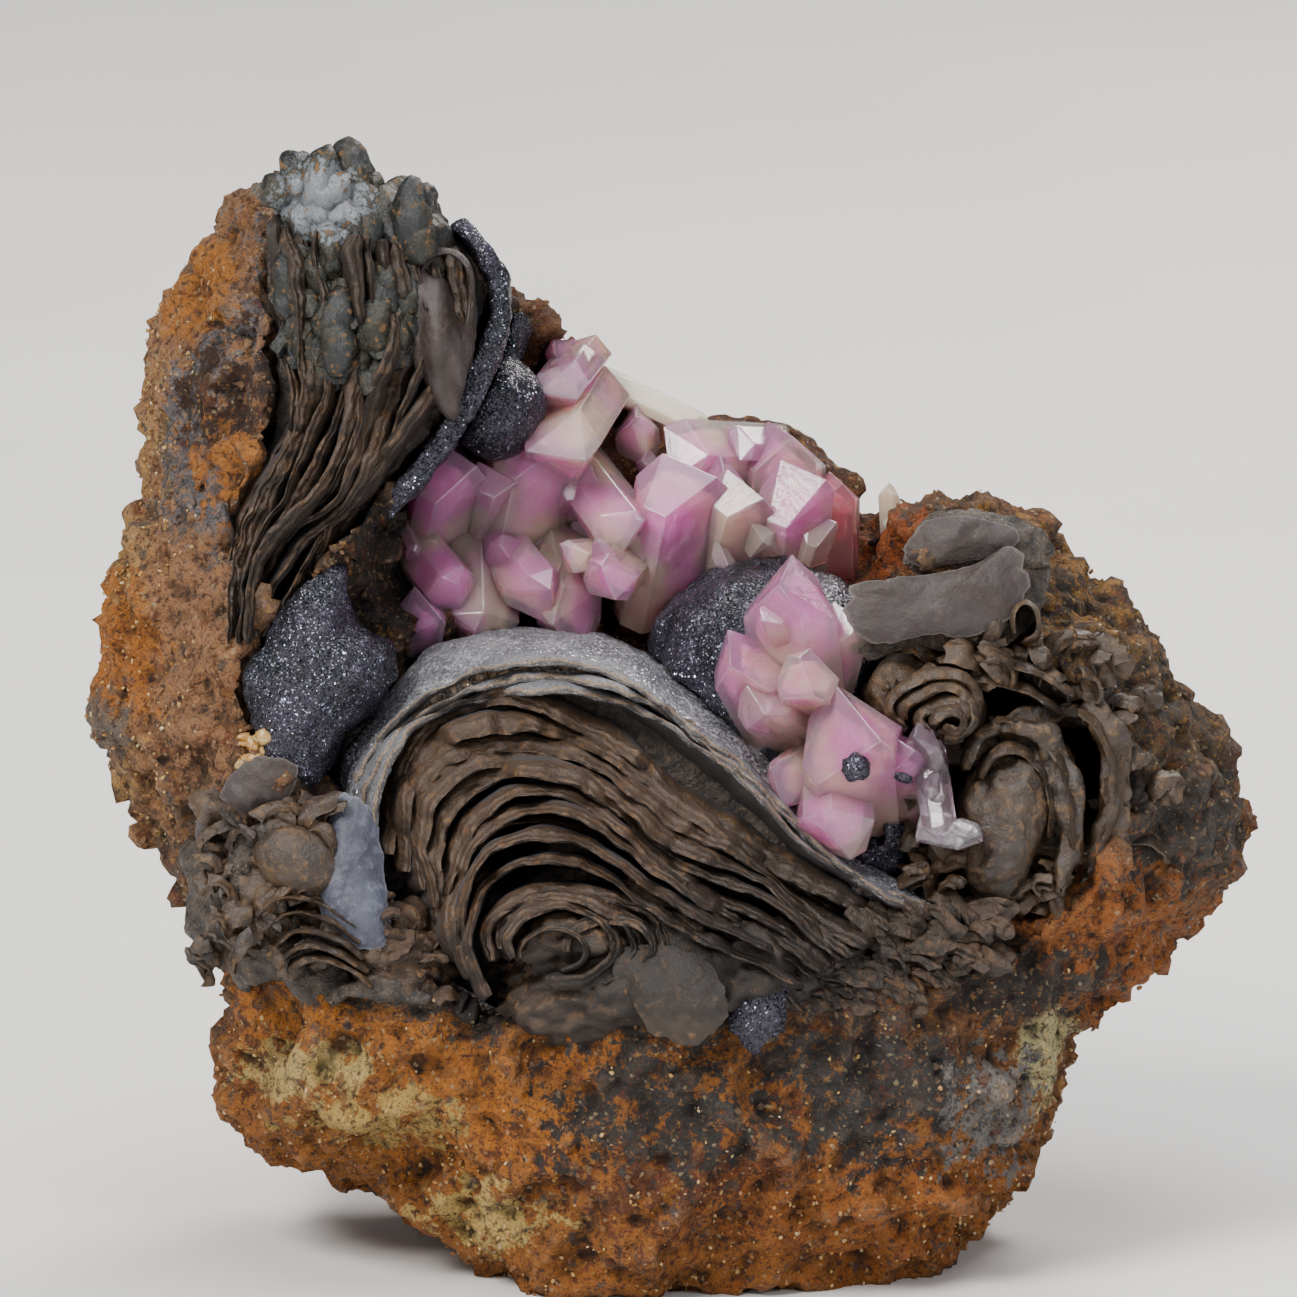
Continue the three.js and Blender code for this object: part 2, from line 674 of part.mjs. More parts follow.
const pocketHollow = (grow = 0) =>
  joined([
    lump(
      { middle: [-6, -17, 80], radii: [24, 24.5, 19], turn: [0, 0.42, 0], detail: 3, uneven: 0.1, seed: 3 },
      grow,
    ),
    lump({ middle: [14, -14, 78], radii: [13.4, 19.4, 13.4], detail: 1, uneven: 0.1, seed: 5 }, grow),
  ]);

// The wide bay broken out of the front, in which the dome and the druse stand
const frontBay = (grow = 0) =>
  joined([
    lump(
      { middle: [2, -36, 59], radii: [46, 31, 22], turn: [0, 0.06, 0], detail: 3, uneven: 0.07, seed: 4 },
      grow,
    ),
    lump({ middle: [26, -37, 40], radii: [21, 20, 12], detail: 1, uneven: 0.07, seed: 4 }, grow),
  ]);

const rightHollow = (grow = 0) =>
  lump({ middle: [35, -24, 51], radii: [12, 19, 13.6], detail: 2, uneven: 0.12, seed: 2 }, grow);

const domeBed = (grow = 0) => domeBody(0, grow + 2 * GAP).subtract(behind(DOME_SEAT + grow + 2 * GAP));
const columnBed = (grow = 0) => columnBody(grow + 2 * GAP).subtract(behind(COLUMN_SEAT + grow + 2 * GAP));

const rockBlock = (grow = 0) =>
  moulded(
    {
      outline: ROCK_OUTLINE,
      middle: ROCK_MIDDLE,
      front: ROCK_FRONT,
      back: ROCK_BACK,
      detail: 7,
      square: 2.7,
      rough: rockRoughness,
    },
    grow,
  );

// The rock, or with grow the space that other pieces leave free round it
const rockMass = (grow = 0) =>
  [pocketHollow, frontBay, rightHollow, domeBed, columnBed].reduce(
    (left, hollow) => left.subtract(hollow(-grow)),
    rockBlock(grow),
  );

// Assembly: pieces are listed from the outermost in, and each is cut back where an earlier one is set into it

const PIECES = [
  ["front_adamite", frontAdamite, "#d98fc0", 0.18, 0],
  ["broken_blades", brokenBlades, "#cfc4c2", 0.25, 0],
  ["pocket_adamite", pocketAdamite, "#d9a0bb", 0.18, 0],
  ["rim_crystal", rimCrystal, "#e59aa6", 0.18, 0],
  ["small_rim_crystals", smallRimCrystals, "#e8c6b4", 0.25, 0],
  ["pale_blade", paleBlade, "#efe2c8", 0.3, 0],
  ["upper_left_adamite", upperLeftAdamite, "#cf7fae", 0.2, 0],
  ["lower_plate", lowerPlate, "#55443c", 0.5, 0.1],
  ["left_curls", leftCurls, "#6a5646", 0.5, 0.1],
  ["dome_druse_shell", domeDruseShell, "#8f8f96", 0.45, 0.3],
  ["laminated_dome", laminatedDome, "#6b543f", 0.5, 0.1],
  ["upper_petal", upperPetal, "#6d6262", 0.45, 0.1],
  ["large_petal", largePetal, "#6d6262", 0.45, 0.1],
  ["hollow_curl_left", hollowCurlLeft, "#7a624c", 0.5, 0.1],
  ["hollow_curl_main", hollowCurlMain, "#7a624c", 0.5, 0.1],
  ["hollow_curl_right", hollowCurlRight, "#7a624c", 0.5, 0.1],
  ["column_druse_rim", columnDruseRim, "#5d5d66", 0.4, 0.3],
  ["laminated_column", laminatedColumn, "#6b543f", 0.5, 0.1],
  ["left_druse_sheet", leftDruseSheet, "#3c3e48", 0.35, 0.4],
  ["upper_druse_ball", upperDruseBall, "#2a2f35", 0.3, 0.4],
  ["druse_mound", druseMound, "#2c3034", 0.3, 0.4],
  ["lower_druse_patch", lowerDrusePatch, "#2f3546", 0.35, 0.4],
];

const specimen = new THREE.Group();

const addPiece = (name, solid, colour, roughness, metalness) => {
  const { vertProperties, triVerts, numProp } = solid.getMesh();
  const corners = new Float32Array((vertProperties.length / numProp) * 3);
  for (let i = 0; i < corners.length / 3; i++)
    corners.set(vertProperties.subarray(i * numProp, i * numProp + 3), i * 3);
  const geometry = new THREE.BufferGeometry()
    .setAttribute("position", new THREE.BufferAttribute(corners, 3))
    .setIndex(new THREE.BufferAttribute(triVerts, 1));
  geometry.computeVertexNormals();
  const mesh = new THREE.Mesh(
    geometry,
    new THREE.MeshStandardMaterial({ color: colour, roughness, metalness, flatShading: true }),
  );
  mesh.name = name;
  specimen.add(mesh);
};

// Each piece is cut back from the rock and from the pieces before it, by the clearance
const rockSpace = rockMass(GAP);
const placed = [];
for (const [name, build, colour, roughness, metalness] of PIECES) {
  const solid = placed.reduce((left, before) => left.subtract(before), build().subtract(rockSpace));
  addPiece(name, largest(solid), colour, roughness, metalness);
  placed.push(build(GAP));
}
addPiece("limonite_matrix", largest(rockMass().subtract(belowFoot())), "#9a5a2c", 0.85, 0);

// Lean the specimen back on its foot, then put the origin under the middle of its box
specimen.rotation.x = -LEAN;
const part = new THREE.Group();
part.add(specimen);
part.updateMatrixWorld(true);
const box = new THREE.Box3().setFromObject(specimen, true);
specimen.position.set(-(box.min.x + box.max.x) / 2, -(box.min.y + box.max.y) / 2, -box.min.z);

export default part;
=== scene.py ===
import math
import random

import bpy
import numpy as np
from mathutils import Euler, Matrix, Vector, noise


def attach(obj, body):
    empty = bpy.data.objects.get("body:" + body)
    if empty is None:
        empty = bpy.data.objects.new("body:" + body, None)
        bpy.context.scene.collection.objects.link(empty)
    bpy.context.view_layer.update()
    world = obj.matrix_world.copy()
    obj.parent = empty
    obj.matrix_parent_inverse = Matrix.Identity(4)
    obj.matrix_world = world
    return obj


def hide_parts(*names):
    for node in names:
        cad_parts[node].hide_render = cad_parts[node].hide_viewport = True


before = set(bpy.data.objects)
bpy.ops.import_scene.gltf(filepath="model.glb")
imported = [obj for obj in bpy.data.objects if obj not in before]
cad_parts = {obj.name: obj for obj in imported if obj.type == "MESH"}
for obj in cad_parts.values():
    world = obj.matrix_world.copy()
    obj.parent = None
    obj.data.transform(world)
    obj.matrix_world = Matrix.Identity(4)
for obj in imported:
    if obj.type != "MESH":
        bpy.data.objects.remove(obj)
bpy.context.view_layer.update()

bpy.ops.object.select_all(action="DESELECT")

# ---------------------------------------------------------------------------------------------------------------
# Camera. The specimen leans back 12 degrees on its foot, and the picture looks straight at its upright front, so
# the camera stands two metres off on a long lens and looks down by the same 12 degrees.

LEAN = math.radians(12)
SHIFT = (-0.6728, -9.0525, -3.5213)  # mm, from the front view's frame to the middle of the foot
VIEW_CENTRE = (-1.15, 64.15)  # mm, what the middle of the picture shows
VIEW_WIDTH = 0.1297  # m
VIEW_DISTANCE = 2000  # mm
SENSOR_WIDTH = 36  # mm


def from_front(x, y, z):
    """A place as seen from the front, in mm (right, away, up), as metres in the leaned frame."""
    return (Matrix.Rotation(-LEAN, 3, "X") @ Vector((x, y, z)) + Vector(SHIFT)) / 1000


target = from_front(VIEW_CENTRE[0], 0, VIEW_CENTRE[1])
bpy.ops.object.camera_add(
    location=from_front(VIEW_CENTRE[0], -VIEW_DISTANCE, VIEW_CENTRE[1]), rotation=(math.pi / 2 - LEAN, 0, 0)
)
camera = bpy.context.object
camera.name = "camera"
camera.data.sensor_width = SENSOR_WIDTH
camera.data.lens = SENSOR_WIDTH * VIEW_DISTANCE / 1000 / VIEW_WIDTH
camera.data.clip_start = 0.05
camera.data.clip_end = 20
bpy.context.scene.camera = camera

# ---------------------------------------------------------------------------------------------------------------
# Floor and lights. A plain pale studio table that runs on behind the specimen, a large soft key from the upper
# left, a softer fill from the right, and a light behind and above that makes the crystals glow.


def tint(code):
    """A colour given as a painter would read it off a screen, as linear light."""
    parts = [int(code[i : i + 2], 16) / 255 for i in (1, 3, 5)]
    return (*[c / 12.92 if c <= 0.04045 else ((c + 0.055) / 1.055) ** 2.4 for c in parts], 1)


def plug(tree, socket, value):
    """Joins a socket to another, or sets its value."""
    if isinstance(value, bpy.types.NodeSocket):
        tree.links.new(value, socket)
    else:
        socket.default_value = value


def node(tree, kind, settings=None, **inputs):
    """Adds a node; an input's name has _ for a space, and i3 is the input at place 3."""
    made = tree.nodes.new("ShaderNode" + kind)
    for key, value in (settings or {}).items():
        setattr(made, key, value)
    for key, value in inputs.items():
        by_place = key[0] == "i" and key[1:].isdigit()
        plug(tree, made.inputs[int(key[1:]) if by_place else key.replace("_", " ")], value)
    return made


def mixed(tree, share, first, second):
    return node(tree, "Mix", {"data_type": "RGBA"}, i0=share, i6=first, i7=second).outputs[2]


def reckon(tree, operation, first, second=0.0):
    return node(tree, "Math", {"operation": operation}, i0=first, i1=second).outputs[0]


def ramp(tree, value, low, high, to_low=0.0, to_high=1.0):
    """Turns low..high smoothly into to_low..to_high."""
    spans = {"i0": value, "i1": low, "i2": high, "i3": to_low, "i4": to_high}
    return node(tree, "MapRange", {"interpolation_type": "SMOOTHSTEP"}, **spans).outputs[0]


def new_material(name):
    """An empty material with its shader and output: returns the material, its tree and the shader."""
    material = bpy.data.materials.new(name)
    material.use_nodes = True
    tree = material.node_tree
    tree.nodes.clear()
    shader = node(tree, "BsdfPrincipled")
    out = node(tree, "OutputMaterial")
    tree.links.new(shader.outputs[0], out.inputs[0])
    return material, tree, shader


FLOOR_SIZE = 7  # m
WORLD_STRENGTH = 0.19
table, tree, shader = new_material("pale_table")
place = node(tree, "TexCoord").outputs["Object"]
mottle = node(tree, "TexNoise", Vector=place, Scale=9, Detail=4).outputs[0]
plug(tree, shader.inputs["Base Color"], mixed(tree, mottle, tint("#e6e5e3"), tint("#ecebe9")))
plug(tree, shader.inputs["Roughness"], ramp(tree, mottle, 0.3, 0.7, 0.55, 0.7))
bpy.ops.mesh.primitive_plane_add(size=FLOOR_SIZE)
floor = bpy.context.object
floor.name = "floor"
floor.data.materials.append(table)

world = bpy.data.worlds.new("studio")
world.use_nodes = True
sky = world.node_tree.nodes["Background"]
sky.inputs["Color"].default_value = (0.86, 0.9, 1, 1)
sky.inputs["Strength"].default_value = WORLD_STRENGTH
bpy.context.scene.world = world

STUDIO_LIGHTS = [
    # name, place (m), size (m), power (W), colour
    ("key", (-0.6, -0.7, 0.95), 0.46, 21, (1, 0.97, 0.93)),
    ("fill", (0.95, -0.8, 0.45), 0.6, 3.2, (0.93, 0.96, 1)),
    ("back", (0.3, 0.6, 0.6), 0.35, 6.5, (1, 0.95, 0.9)),
    ("top", (0.05, -0.1, 0.85), 0.6, 5, (1, 1, 1)),
    ("glint_right", (0.45, -0.9, 0.5), 0.07, 1.6, (1, 1, 1)),
    ("glint_left", (-0.35, -0.95, 0.25), 0.06, 1.1, (1, 1, 1)),
]
for name, spot, size, power, colour in STUDIO_LIGHTS:
    bpy.ops.object.light_add(type="AREA", location=spot)
    light = bpy.context.object
    light.name = name
    light.data.size = size
    light.data.energy = power
    light.data.color = colour
    light.rotation_euler = (target - Vector(spot)).to_track_quat("-Z", "Y").to_euler()

# ---------------------------------------------------------------------------------------------------------------
# Rock. Rusty limonite, a hard porous iron oxide broken out of a mine wall: orange and ochre below, salmon and
# blue-grey on the left flank, dark with a gold crust on the right, and deep rust in the pocket.


def edit_whole(*steps):
    """Runs edit-mode steps on the whole of the active mesh."""
    bpy.ops.object.mode_set(mode="EDIT")
    bpy.ops.mesh.select_all(action="SELECT")
    for step in steps:
        step()
    bpy.ops.object.mode_set(mode="OBJECT")


def take_copy(cad_node, name):
    """A copy of a CAD node with its loose triangles merged, as the active object."""
    bpy.ops.object.select_all(action="DESELECT")
    piece = bpy.data.objects.new(name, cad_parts[cad_node].data.copy())
    bpy.context.scene.collection.objects.link(piece)
    bpy.context.view_layer.objects.active = piece
    piece.select_set(True)
    piece.data.materials.clear()
    edit_whole(lambda: bpy.ops.mesh.remove_doubles(threshold=1e-5))
    return piece


def apply_all(piece):
    bpy.context.view_layer.objects.active = piece
    for modifier in list(piece.modifiers):
        bpy.ops.object.modifier_apply(modifier=modifier.name)


def roughen(piece, fineness, *layers):
    """Remeshes a piece evenly and breaks its skin up. Layers are kind, lump size and height in mm, and middle."""
    remesh = piece.modifiers.new("even", "REMESH")
    remesh.mode = "VOXEL"
    remesh.voxel_size = fineness / 1000
    for kind, size, height, middle in layers:
        pattern = bpy.data.textures.new(f"{piece.name}_{size}", kind)
        pattern.noise_scale = size / 1000
        if kind == "CLOUDS":
            pattern.noise_depth = 3
        elif kind == "MUSGRAVE":
            pattern.musgrave_type = "RIDGED_MULTIFRACTAL"
            pattern.octaves = 4
        push = piece.modifiers.new("break", "DISPLACE")
        push.texture = pattern
        push.texture_coords = "LOCAL"
        push.strength = height / 1000
        push.mid_level = middle
    apply_all(piece)
    bpy.ops.object.shade_smooth()


def finish_piece(piece, finish, slot, *cad_nodes):
    """Gives a piece its finish and hides the CAD nodes that it stands in for; slot is not used."""
    piece.data.materials.clear()
    piece.data.materials.append(finish.material)
    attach(piece, "root")
    if cad_nodes:
        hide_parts(*cad_nodes)
    bpy.ops.object.select_all(action="DESELECT")


def new_group(name, inputs, outputs):
    """An empty node group with named sockets: returns the group, its input node and its output node."""
    group = bpy.data.node_groups.new(name, "ShaderNodeTree")
    for label, kind, value in inputs:
        socket = group.interface.new_socket(label, in_out="INPUT", socket_type="NodeSocket" + kind)
        socket.default_value = value
    for label, kind in outputs:
        group.interface.new_socket(label, in_out="OUTPUT", socket_type="NodeSocket" + kind)
    return group, group.nodes.new("NodeGroupInput"), group.nodes.new("NodeGroupOutput")


def reckon_vector(tree, operation, first, second=None):
    """The vector kin of reckon; SCALE takes a plain number."""
    made = node(tree, "VectorMath", {"operation": operation}, i0=first)
    if second is not None:
        plug(tree, made.inputs["Scale" if operation == "SCALE" else 1], second)
    return made.outputs["Value" if operation in ("LENGTH", "DOT_PRODUCT") else "Vector"]


# Place on the specimen as seen from the front, in mm, shifted a little by a noise so that no border runs straight
front_place, given, result = new_group("front_place", [("Waver", "Float", 2.0)], [("Place", "Vector")])
back_turn = Matrix.Rotation(LEAN, 3, "X") @ Vector(SHIFT)
coordinates = node(front_place, "TexCoord").outputs["Object"]
upright = node(
    front_place, "Mapping", Vector=coordinates, Location=-back_turn, Rotation=(LEAN, 0, 0), Scale=(1000,) * 3
).outputs[0]
drift = node(front_place, "TexNoise", Vector=upright, Scale=0.16, Detail=2).outputs["Color"]
centred = reckon_vector(front_place, "SUBTRACT", drift, (0.5, 0.5, 0.5))
shifted = reckon_vector(front_place, "SCALE", centred, given.outputs["Waver"])
plug(front_place, result.inputs["Place"], reckon_vector(front_place, "ADD", upright, shifted))

# How far a place lies inside a patch: 1 within it and 0 outside, with a border that a noise breaks up
patch_mask, given, result = new_group(
    "patch_mask",
    [("Place", "Vector", (0, 0, 0)), ("Middle", "Vector", (0, 0, 0)), ("Reach", "Vector", (1, 1, 1)),
     ("Break-up", "Float", 0.5), ("Noise", "Float", 0.5)],
    [("Mask", "Float")],
)
off = reckon_vector(patch_mask, "SUBTRACT", given.outputs["Place"], given.outputs["Middle"])
share = reckon_vector(patch_mask, "DIVIDE", off, given.outputs["Reach"])
uneven = reckon(patch_mask, "MULTIPLY", reckon(patch_mask, "SUBTRACT", given.outputs["Noise"], 0.5), 5.0)
ragged = reckon(patch_mask, "MULTIPLY", uneven, given.outputs["Break-up"])
distance = reckon(patch_mask, "ADD", reckon_vector(patch_mask, "LENGTH", share), ragged)
plug(patch_mask, result.inputs["Mask"], ramp(patch_mask, distance, 1.15, 0.75))

# Tiny crystal faces: each grain of the skin is turned its own way, and some catch the light
grain_facets, given, result = new_group(
    "grain_facets",
    [("Place", "Vector", (0, 0, 0)), ("Grains per mm", "Float", 3.0), ("Tilt", "Float", 1.0)],
    [("Normal", "Vector"), ("Chance", "Float")],
)
cells = node(grain_facets, "TexVoronoi", Vector=given.outputs["Place"], Scale=given.outputs["Grains per mm"])
turned = reckon_vector(grain_facets, "SUBTRACT", cells.outputs["Color"], (0.5, 0.5, 0.5))
tilted = reckon_vector(grain_facets, "SCALE", turned, given.outputs["Tilt"])
leaning = reckon_vector(grain_facets, "ADD", node(grain_facets, "NewGeometry").outputs["Normal"], tilted)
plug(grain_facets, result.inputs["Normal"], reckon_vector(grain_facets, "NORMALIZE", leaning))
chance = node(grain_facets, "SeparateColor", i0=cells.outputs["Color"]).outputs[2]
plug(grain_facets, result.inputs["Chance"], chance)


class Finish:
    """A mineral's finish, built up coat by coat from patterns that read the place on the specimen."""

    def __init__(self, name, waver):
        self.material, self.tree, self.shader = new_material(name)
        self.place = self.wavering(waver)

    def wavering(self, waver):
        return node(self.tree, "Group", {"node_tree": front_place}, Waver=waver).outputs["Place"]

    def clouds(self, scale, detail, roughness=0.5, place=None, **more):
        """A cloudy pattern from 0 to 1, with its scale per mm."""
        spot = self.place if place is None else place
        made = node(self.tree, "TexNoise", Vector=spot, Scale=scale, Detail=detail, Roughness=roughness, **more)
        return made.outputs[0]

    def facets(self, per_mm, tilt, place=None):
        """Grains with their own slants: returns a chance for each grain, and the turned normal."""
        spot = self.place if place is None else place
        grains = node(self.tree, "Group", {"node_tree": grain_facets}, Place=spot, Grains_per_mm=per_mm, Tilt=tilt)
        return grains.outputs["Chance"], grains.outputs["Normal"]

    def marked(self, attribute):
        return node(self.tree, "Attribute", {"attribute_name": attribute}).outputs["Fac"]

    # The mesh's pointiness, low in hollows: the finishes darken the hollows with it as painted shade
    def hollows(self):
        return node(self.tree, "NewGeometry").outputs["Pointiness"]

    def frontal(self):
        """How squarely the skin faces the front, and how far it faces up."""
        facing = node(self.tree, "TexCoord").outputs["Normal"]
        front = tuple(Matrix.Rotation(-LEAN, 3, "X") @ Vector((0, -1, 0)))
        upward = node(self.tree, "SeparateXYZ", i0=facing).outputs[2]
        return reckon_vector(self.tree, "DOT_PRODUCT", facing, front), upward

    def blend(self, mask, low, high, first, second):
        """One colour that turns into another as a mask goes from low to high."""
        return mixed(self.tree, ramp(self.tree, mask, low, high), tint(first), tint(second))

    def paint(self, colour):
        self.colour = colour
        plug(self.tree, self.shader.inputs["Base Color"], colour)

    def cover(self, share, code):
        self.paint(mixed(self.tree, share, self.colour, tint(code)))

    def lay(self, mask, low, high, code, most=1.0):
        """Lays a colour over the rest where a mask goes from low to high."""
        self.cover(ramp(self.tree, mask, low, high, 0, most), code)

    # Lays a colour over the rest by a share times a strength: used for painted shade, painted highlights and painted
    # glints
    def paint_light_and_shade(self, share, code, strength):
        self.cover(reckon(self.tree, "MULTIPLY", share, strength), code)

    def patch(self, middle, reach, noise_field, break_up=0.5):
        """The mask of a patch that lies round a place, in mm."""
        inputs = {"i0": self.place, "i1": middle, "i2": reach, "i3": break_up, "i4": noise_field}
        return node(self.tree, "Group", {"node_tree": patch_mask}, **inputs).outputs["Mask"]

    def set(self, socket, mask, low, high, at_low, at_high):
        """Lets a value of the shader follow a mask."""
        plug(self.tree, self.shader.inputs[socket], ramp(self.tree, mask, low, high, at_low, at_high))

    def weighed(self, *terms):
        """The sum of patterns, each with its weight."""
        parts = [p if weight == 1 else reckon(self.tree, "MULTIPLY", p, weight) for p, weight in terms]
        total = parts[0]
        for part in parts[1:]:
            total = reckon(self.tree, "ADD", total, part)
        return total

    def bump(self, strength, depth, *terms):
        """Raises the skin by the weighed patterns; depth is in metres."""
        raised = node(self.tree, "Bump", Height=self.weighed(*terms), Strength=strength, Distance=depth)
        plug(self.tree, self.shader.inputs["Normal"], raised.outputs[0])


# Patches of the rock's skin: colour, middle and reach in mm (right, away, up), and how broken up they are
ROCK_PATCHES = [
    ("#b98559", (-49, -10, 84), (14, 30, 36), 0.35),
    ("#77757a", (-44, -20, 84), (6, 22, 24), 1.3),
    ("#b5825a", (-47, -24, 64), (7, 20, 12), 0.9),
    ("#c79a5c", (-56, -5, 74), (6, 26, 30), 0.8),
    ("#cc7f2a", (-47, -12, 101), (6, 18, 6), 0.5),
    ("#cb7a26", (-56, -10, 63), (6, 24, 10), 0.6),
    ("#4a2c1a", (-42, -22, 87), (5, 16, 7), 1.0),
    ("#c87d30", (-43, -22, 82), (3, 16, 4), 1.0),
    ("#7d6f62", (-57, -8, 56), (5, 20, 4), 0.5),
    ("#8f8a80", (-37, -16, 113), (7, 14, 4), 0.9),
    ("#b56d22", (-5, -14, 10), (62, 42, 24), 0.5),
    ("#cf7d1f", (-32, -22, 27), (12, 24, 7), 1.2),
    ("#cb7a1e", (-14, -24, 17), (16, 24, 8), 1.4),
    ("#7a3f1a", (6, -24, 13), (16, 24, 8), 1.4),
    ("#bd6c1f", (24, -22, 9), (16, 24, 7), 1.4),
    ("#c8751c", (-8, -28, 26), (5, 20, 5), 1.2),
    ("#3d3936", (-1, -26, 19), (9, 20, 6), 1.3),
    ("#403e3d", (21, -26, 21), (12, 20, 7), 1.0),
    ("#4b4540", (-2, -28, 30), (30, 14, 4), 0.7),
    ("#b0631f", (42, -16, 36), (20, 32, 10), 0.6),
    ("#3f362e", (45, -14, 64), (15, 32, 18), 0.5),
    ("#6e5029", (44, -16, 66), (12, 28, 14), 2.4),
    ("#a0702c", (38, -18, 73), (7, 26, 5), 2.4),
    ("#4c4743", (54, -16, 46), (8, 20, 6), 0.9),
    ("#e9c97c", (-36, -20, 22.5), (7, 20, 2.6), 1.0),
    ("#e0ba66", (-28, -20, 17.5), (8, 20, 2.4), 1.0),
    ("#ecc873", (-17, -18, 8), (6, 16, 2.8), 1.1),
    ("#e0d397", (39, -18, 23), (4, 20, 7), 0.6),
    ("#8e8b88", (33, -20, 18), (4, 20, 6), 1.1),
    ("#6a2318", (-37, -20, 33), (4, 12, 3), 0.5),
    ("#cc7a22", (-43.5, -18, 33.5), (4, 14, 4), 0.5),
    ("#5b2d16", (-4, -6, 78), (27, 20, 18), 0.4),
    # painted shade: near-black over the cavity at the pocket's left
    ("#1d100c", (-26, -12, 76), (9, 18, 13), 0.3),
    ("#3a3532", (38, -22, 31), (10, 18, 3.5), 0.9),
    ("#2d2825", (30, -20, 34), (8, 14, 4), 0.6),
    ("#b45a1e", (20, -5, 75), (9, 12, 4), 0.5),
    ("#7a3d1b", (-8, 2, 96), (7, 12, 6), 0.6),
    ("#b8722a", (-20, 34, 34), (26, 16, 14), 1.0),
    ("#6b6462", (18, 30, 52), (20, 16, 16), 1.2),
    ("#9d6f45", (-34, 26, 82), (16, 16, 22), 1.0),
    ("#c49a4e", (8, 34, 16), (24, 16, 7), 1.2),
    ("#54463c", (-6, 34, 62), (20, 14, 12), 1.0),
]

coat = rusty_limonite = Finish("rusty_limonite", 8.0)
near = coat.wavering(0.7)
middling = coat.clouds(0.45, 6, 0.7, near)
crumbly = coat.clouds(1.1, 5, 0.68, near, Distortion=0.4)
fine = coat.clouds(3.4, 4, 0.7, near)
coat.paint(coat.blend(coat.clouds(0.13, 5, 0.6), 0.38, 0.6, "#7e4b22", "#5b4a3b"))
coat.lay(middling, 0.52, 0.68, "#94602c")
for paint, middle, reach, break_up in ROCK_PATCHES:
    coat.cover(coat.patch(middle, reach, middling, break_up), paint)
# Every patch is itself mottled: rust, ochre dust, grey skins and dark pits; by the mesh's pointiness, painted shade
# darkens the hollows and the ridges turn paler
greying = node(
    coat.tree, "TexNoise", {"noise_dimensions": "4D"}, Vector=near, W=3.0, Scale=0.45, Detail=5, Roughness=0.7
).outputs[0]
for mask, low, high, code, most in [
    (crumbly, 0.49, 0.36, "#3f2415", 0.85),
    (crumbly, 0.56, 0.66, "#c98f47", 0.6),
    (greying, 0.55, 0.64, "#57524f", 0.75),
    (greying, 0.44, 0.36, "#7b3a18", 0.65),
    (fine, 0.47, 0.33, "#20140f", 0.8),
    (fine, 0.58, 0.7, "#d0a263", 0.35),
    # painted shade: near-black in the hollows
    (coat.hollows(), 0.5, 0.41, "#170e0a", 0.85),
    (coat.hollows(), 0.54, 0.64, "#caa077", 0.3),
]:
    coat.lay(mask, low, high, code, most)
# Painted glints: a few grains painted pale, partly the rock's own pale micro-crystals, and glossier there
glint = ramp(coat.tree, coat.facets(3.0, 1.4, near)[0], 0.98, 0.985)
coat.paint_light_and_shade(glint, "#d9c49a", 0.5)
coat.set("Roughness", glint, 0, 1, 0.86, 0.25)
pits = node(coat.tree, "TexVoronoi", Vector=near, Scale=0.9).outputs["Distance"]
coat.bump(1.0, 0.0014, (fine, 1), (pits, 0.8), (crumbly, 2.2))

rock = take_copy("limonite_matrix", "rusty_rock")
roughen(
    rock, 0.74, ("CLOUDS", 9, 5.0, 0.54), ("MUSGRAVE", 9, 1.6, 0.9), ("CLOUDS", 3.4, 3.0, 0.5),
    ("VORONOI", 5.5, 1.3, 0.4), ("CLOUDS", 1.6, 1.3, 0.5),
)
FOOT_CUT = 0.0003  # m, what lies lower is ground flat
BACK_LIMIT = 0.0388  # m, how far back the broken rock may reach


def read_mesh(parts, what="co"):
    """Reads a vector of every vertex or face of a mesh at once."""
    values = np.empty(len(parts) * 3)
    parts.foreach_get(what, values)
    return values.reshape(-1, 3)


def move_mesh(piece, places):
    piece.data.vertices.foreach_set("co", places.ravel())
    piece.data.update()


def to_front(places):
    """Places in the leaned frame, in metres, as mm seen from the front."""
    return (places * 1000 - np.array(SHIFT)) @ np.array(Matrix.Rotation(LEAN, 3, "X")).T


def trim_foot(piece):
    """Grinds the foot flat at the table, and keeps the broken back within the specimen's depth."""
    places = read_mesh(piece.data.vertices)
    places[:, 2] = np.where(places[:, 2] < FOOT_CUT, 0, places[:, 2])
    places[:, 1] = np.minimum(places[:, 1], BACK_LIMIT)
    move_mesh(piece, places)


def hollow_out(piece, middle, reach, depth):
    """Presses a dark cavity into the front of a piece. Middle and reach are mm right and up, depth is mm."""
    upright = to_front(read_mesh(piece.data.vertices))
    off = ((upright[:, 0] - middle[0]) / reach[0]) ** 2 + ((upright[:, 2] - middle[1]) / reach[1]) ** 2
    upright[:, 1] += np.where(upright[:, 1] < -2, depth * np.clip(1.6 - 1.6 * off, 0, 1), 0)
    move_mesh(piece, (upright @ np.array(Matrix.Rotation(LEAN, 3, "X")) + np.array(SHIFT)) / 1000)


# A cavity pressed in at the pocket's left, which the rock's finish darkens with painted shade
hollow_out(rock, (-24.5, 77), (6, 11), 8)
trim_foot(rock)
finish_piece(rock, rusty_limonite, "limonite", "limonite_matrix")


CRUMB_FLATNESS = 0.6


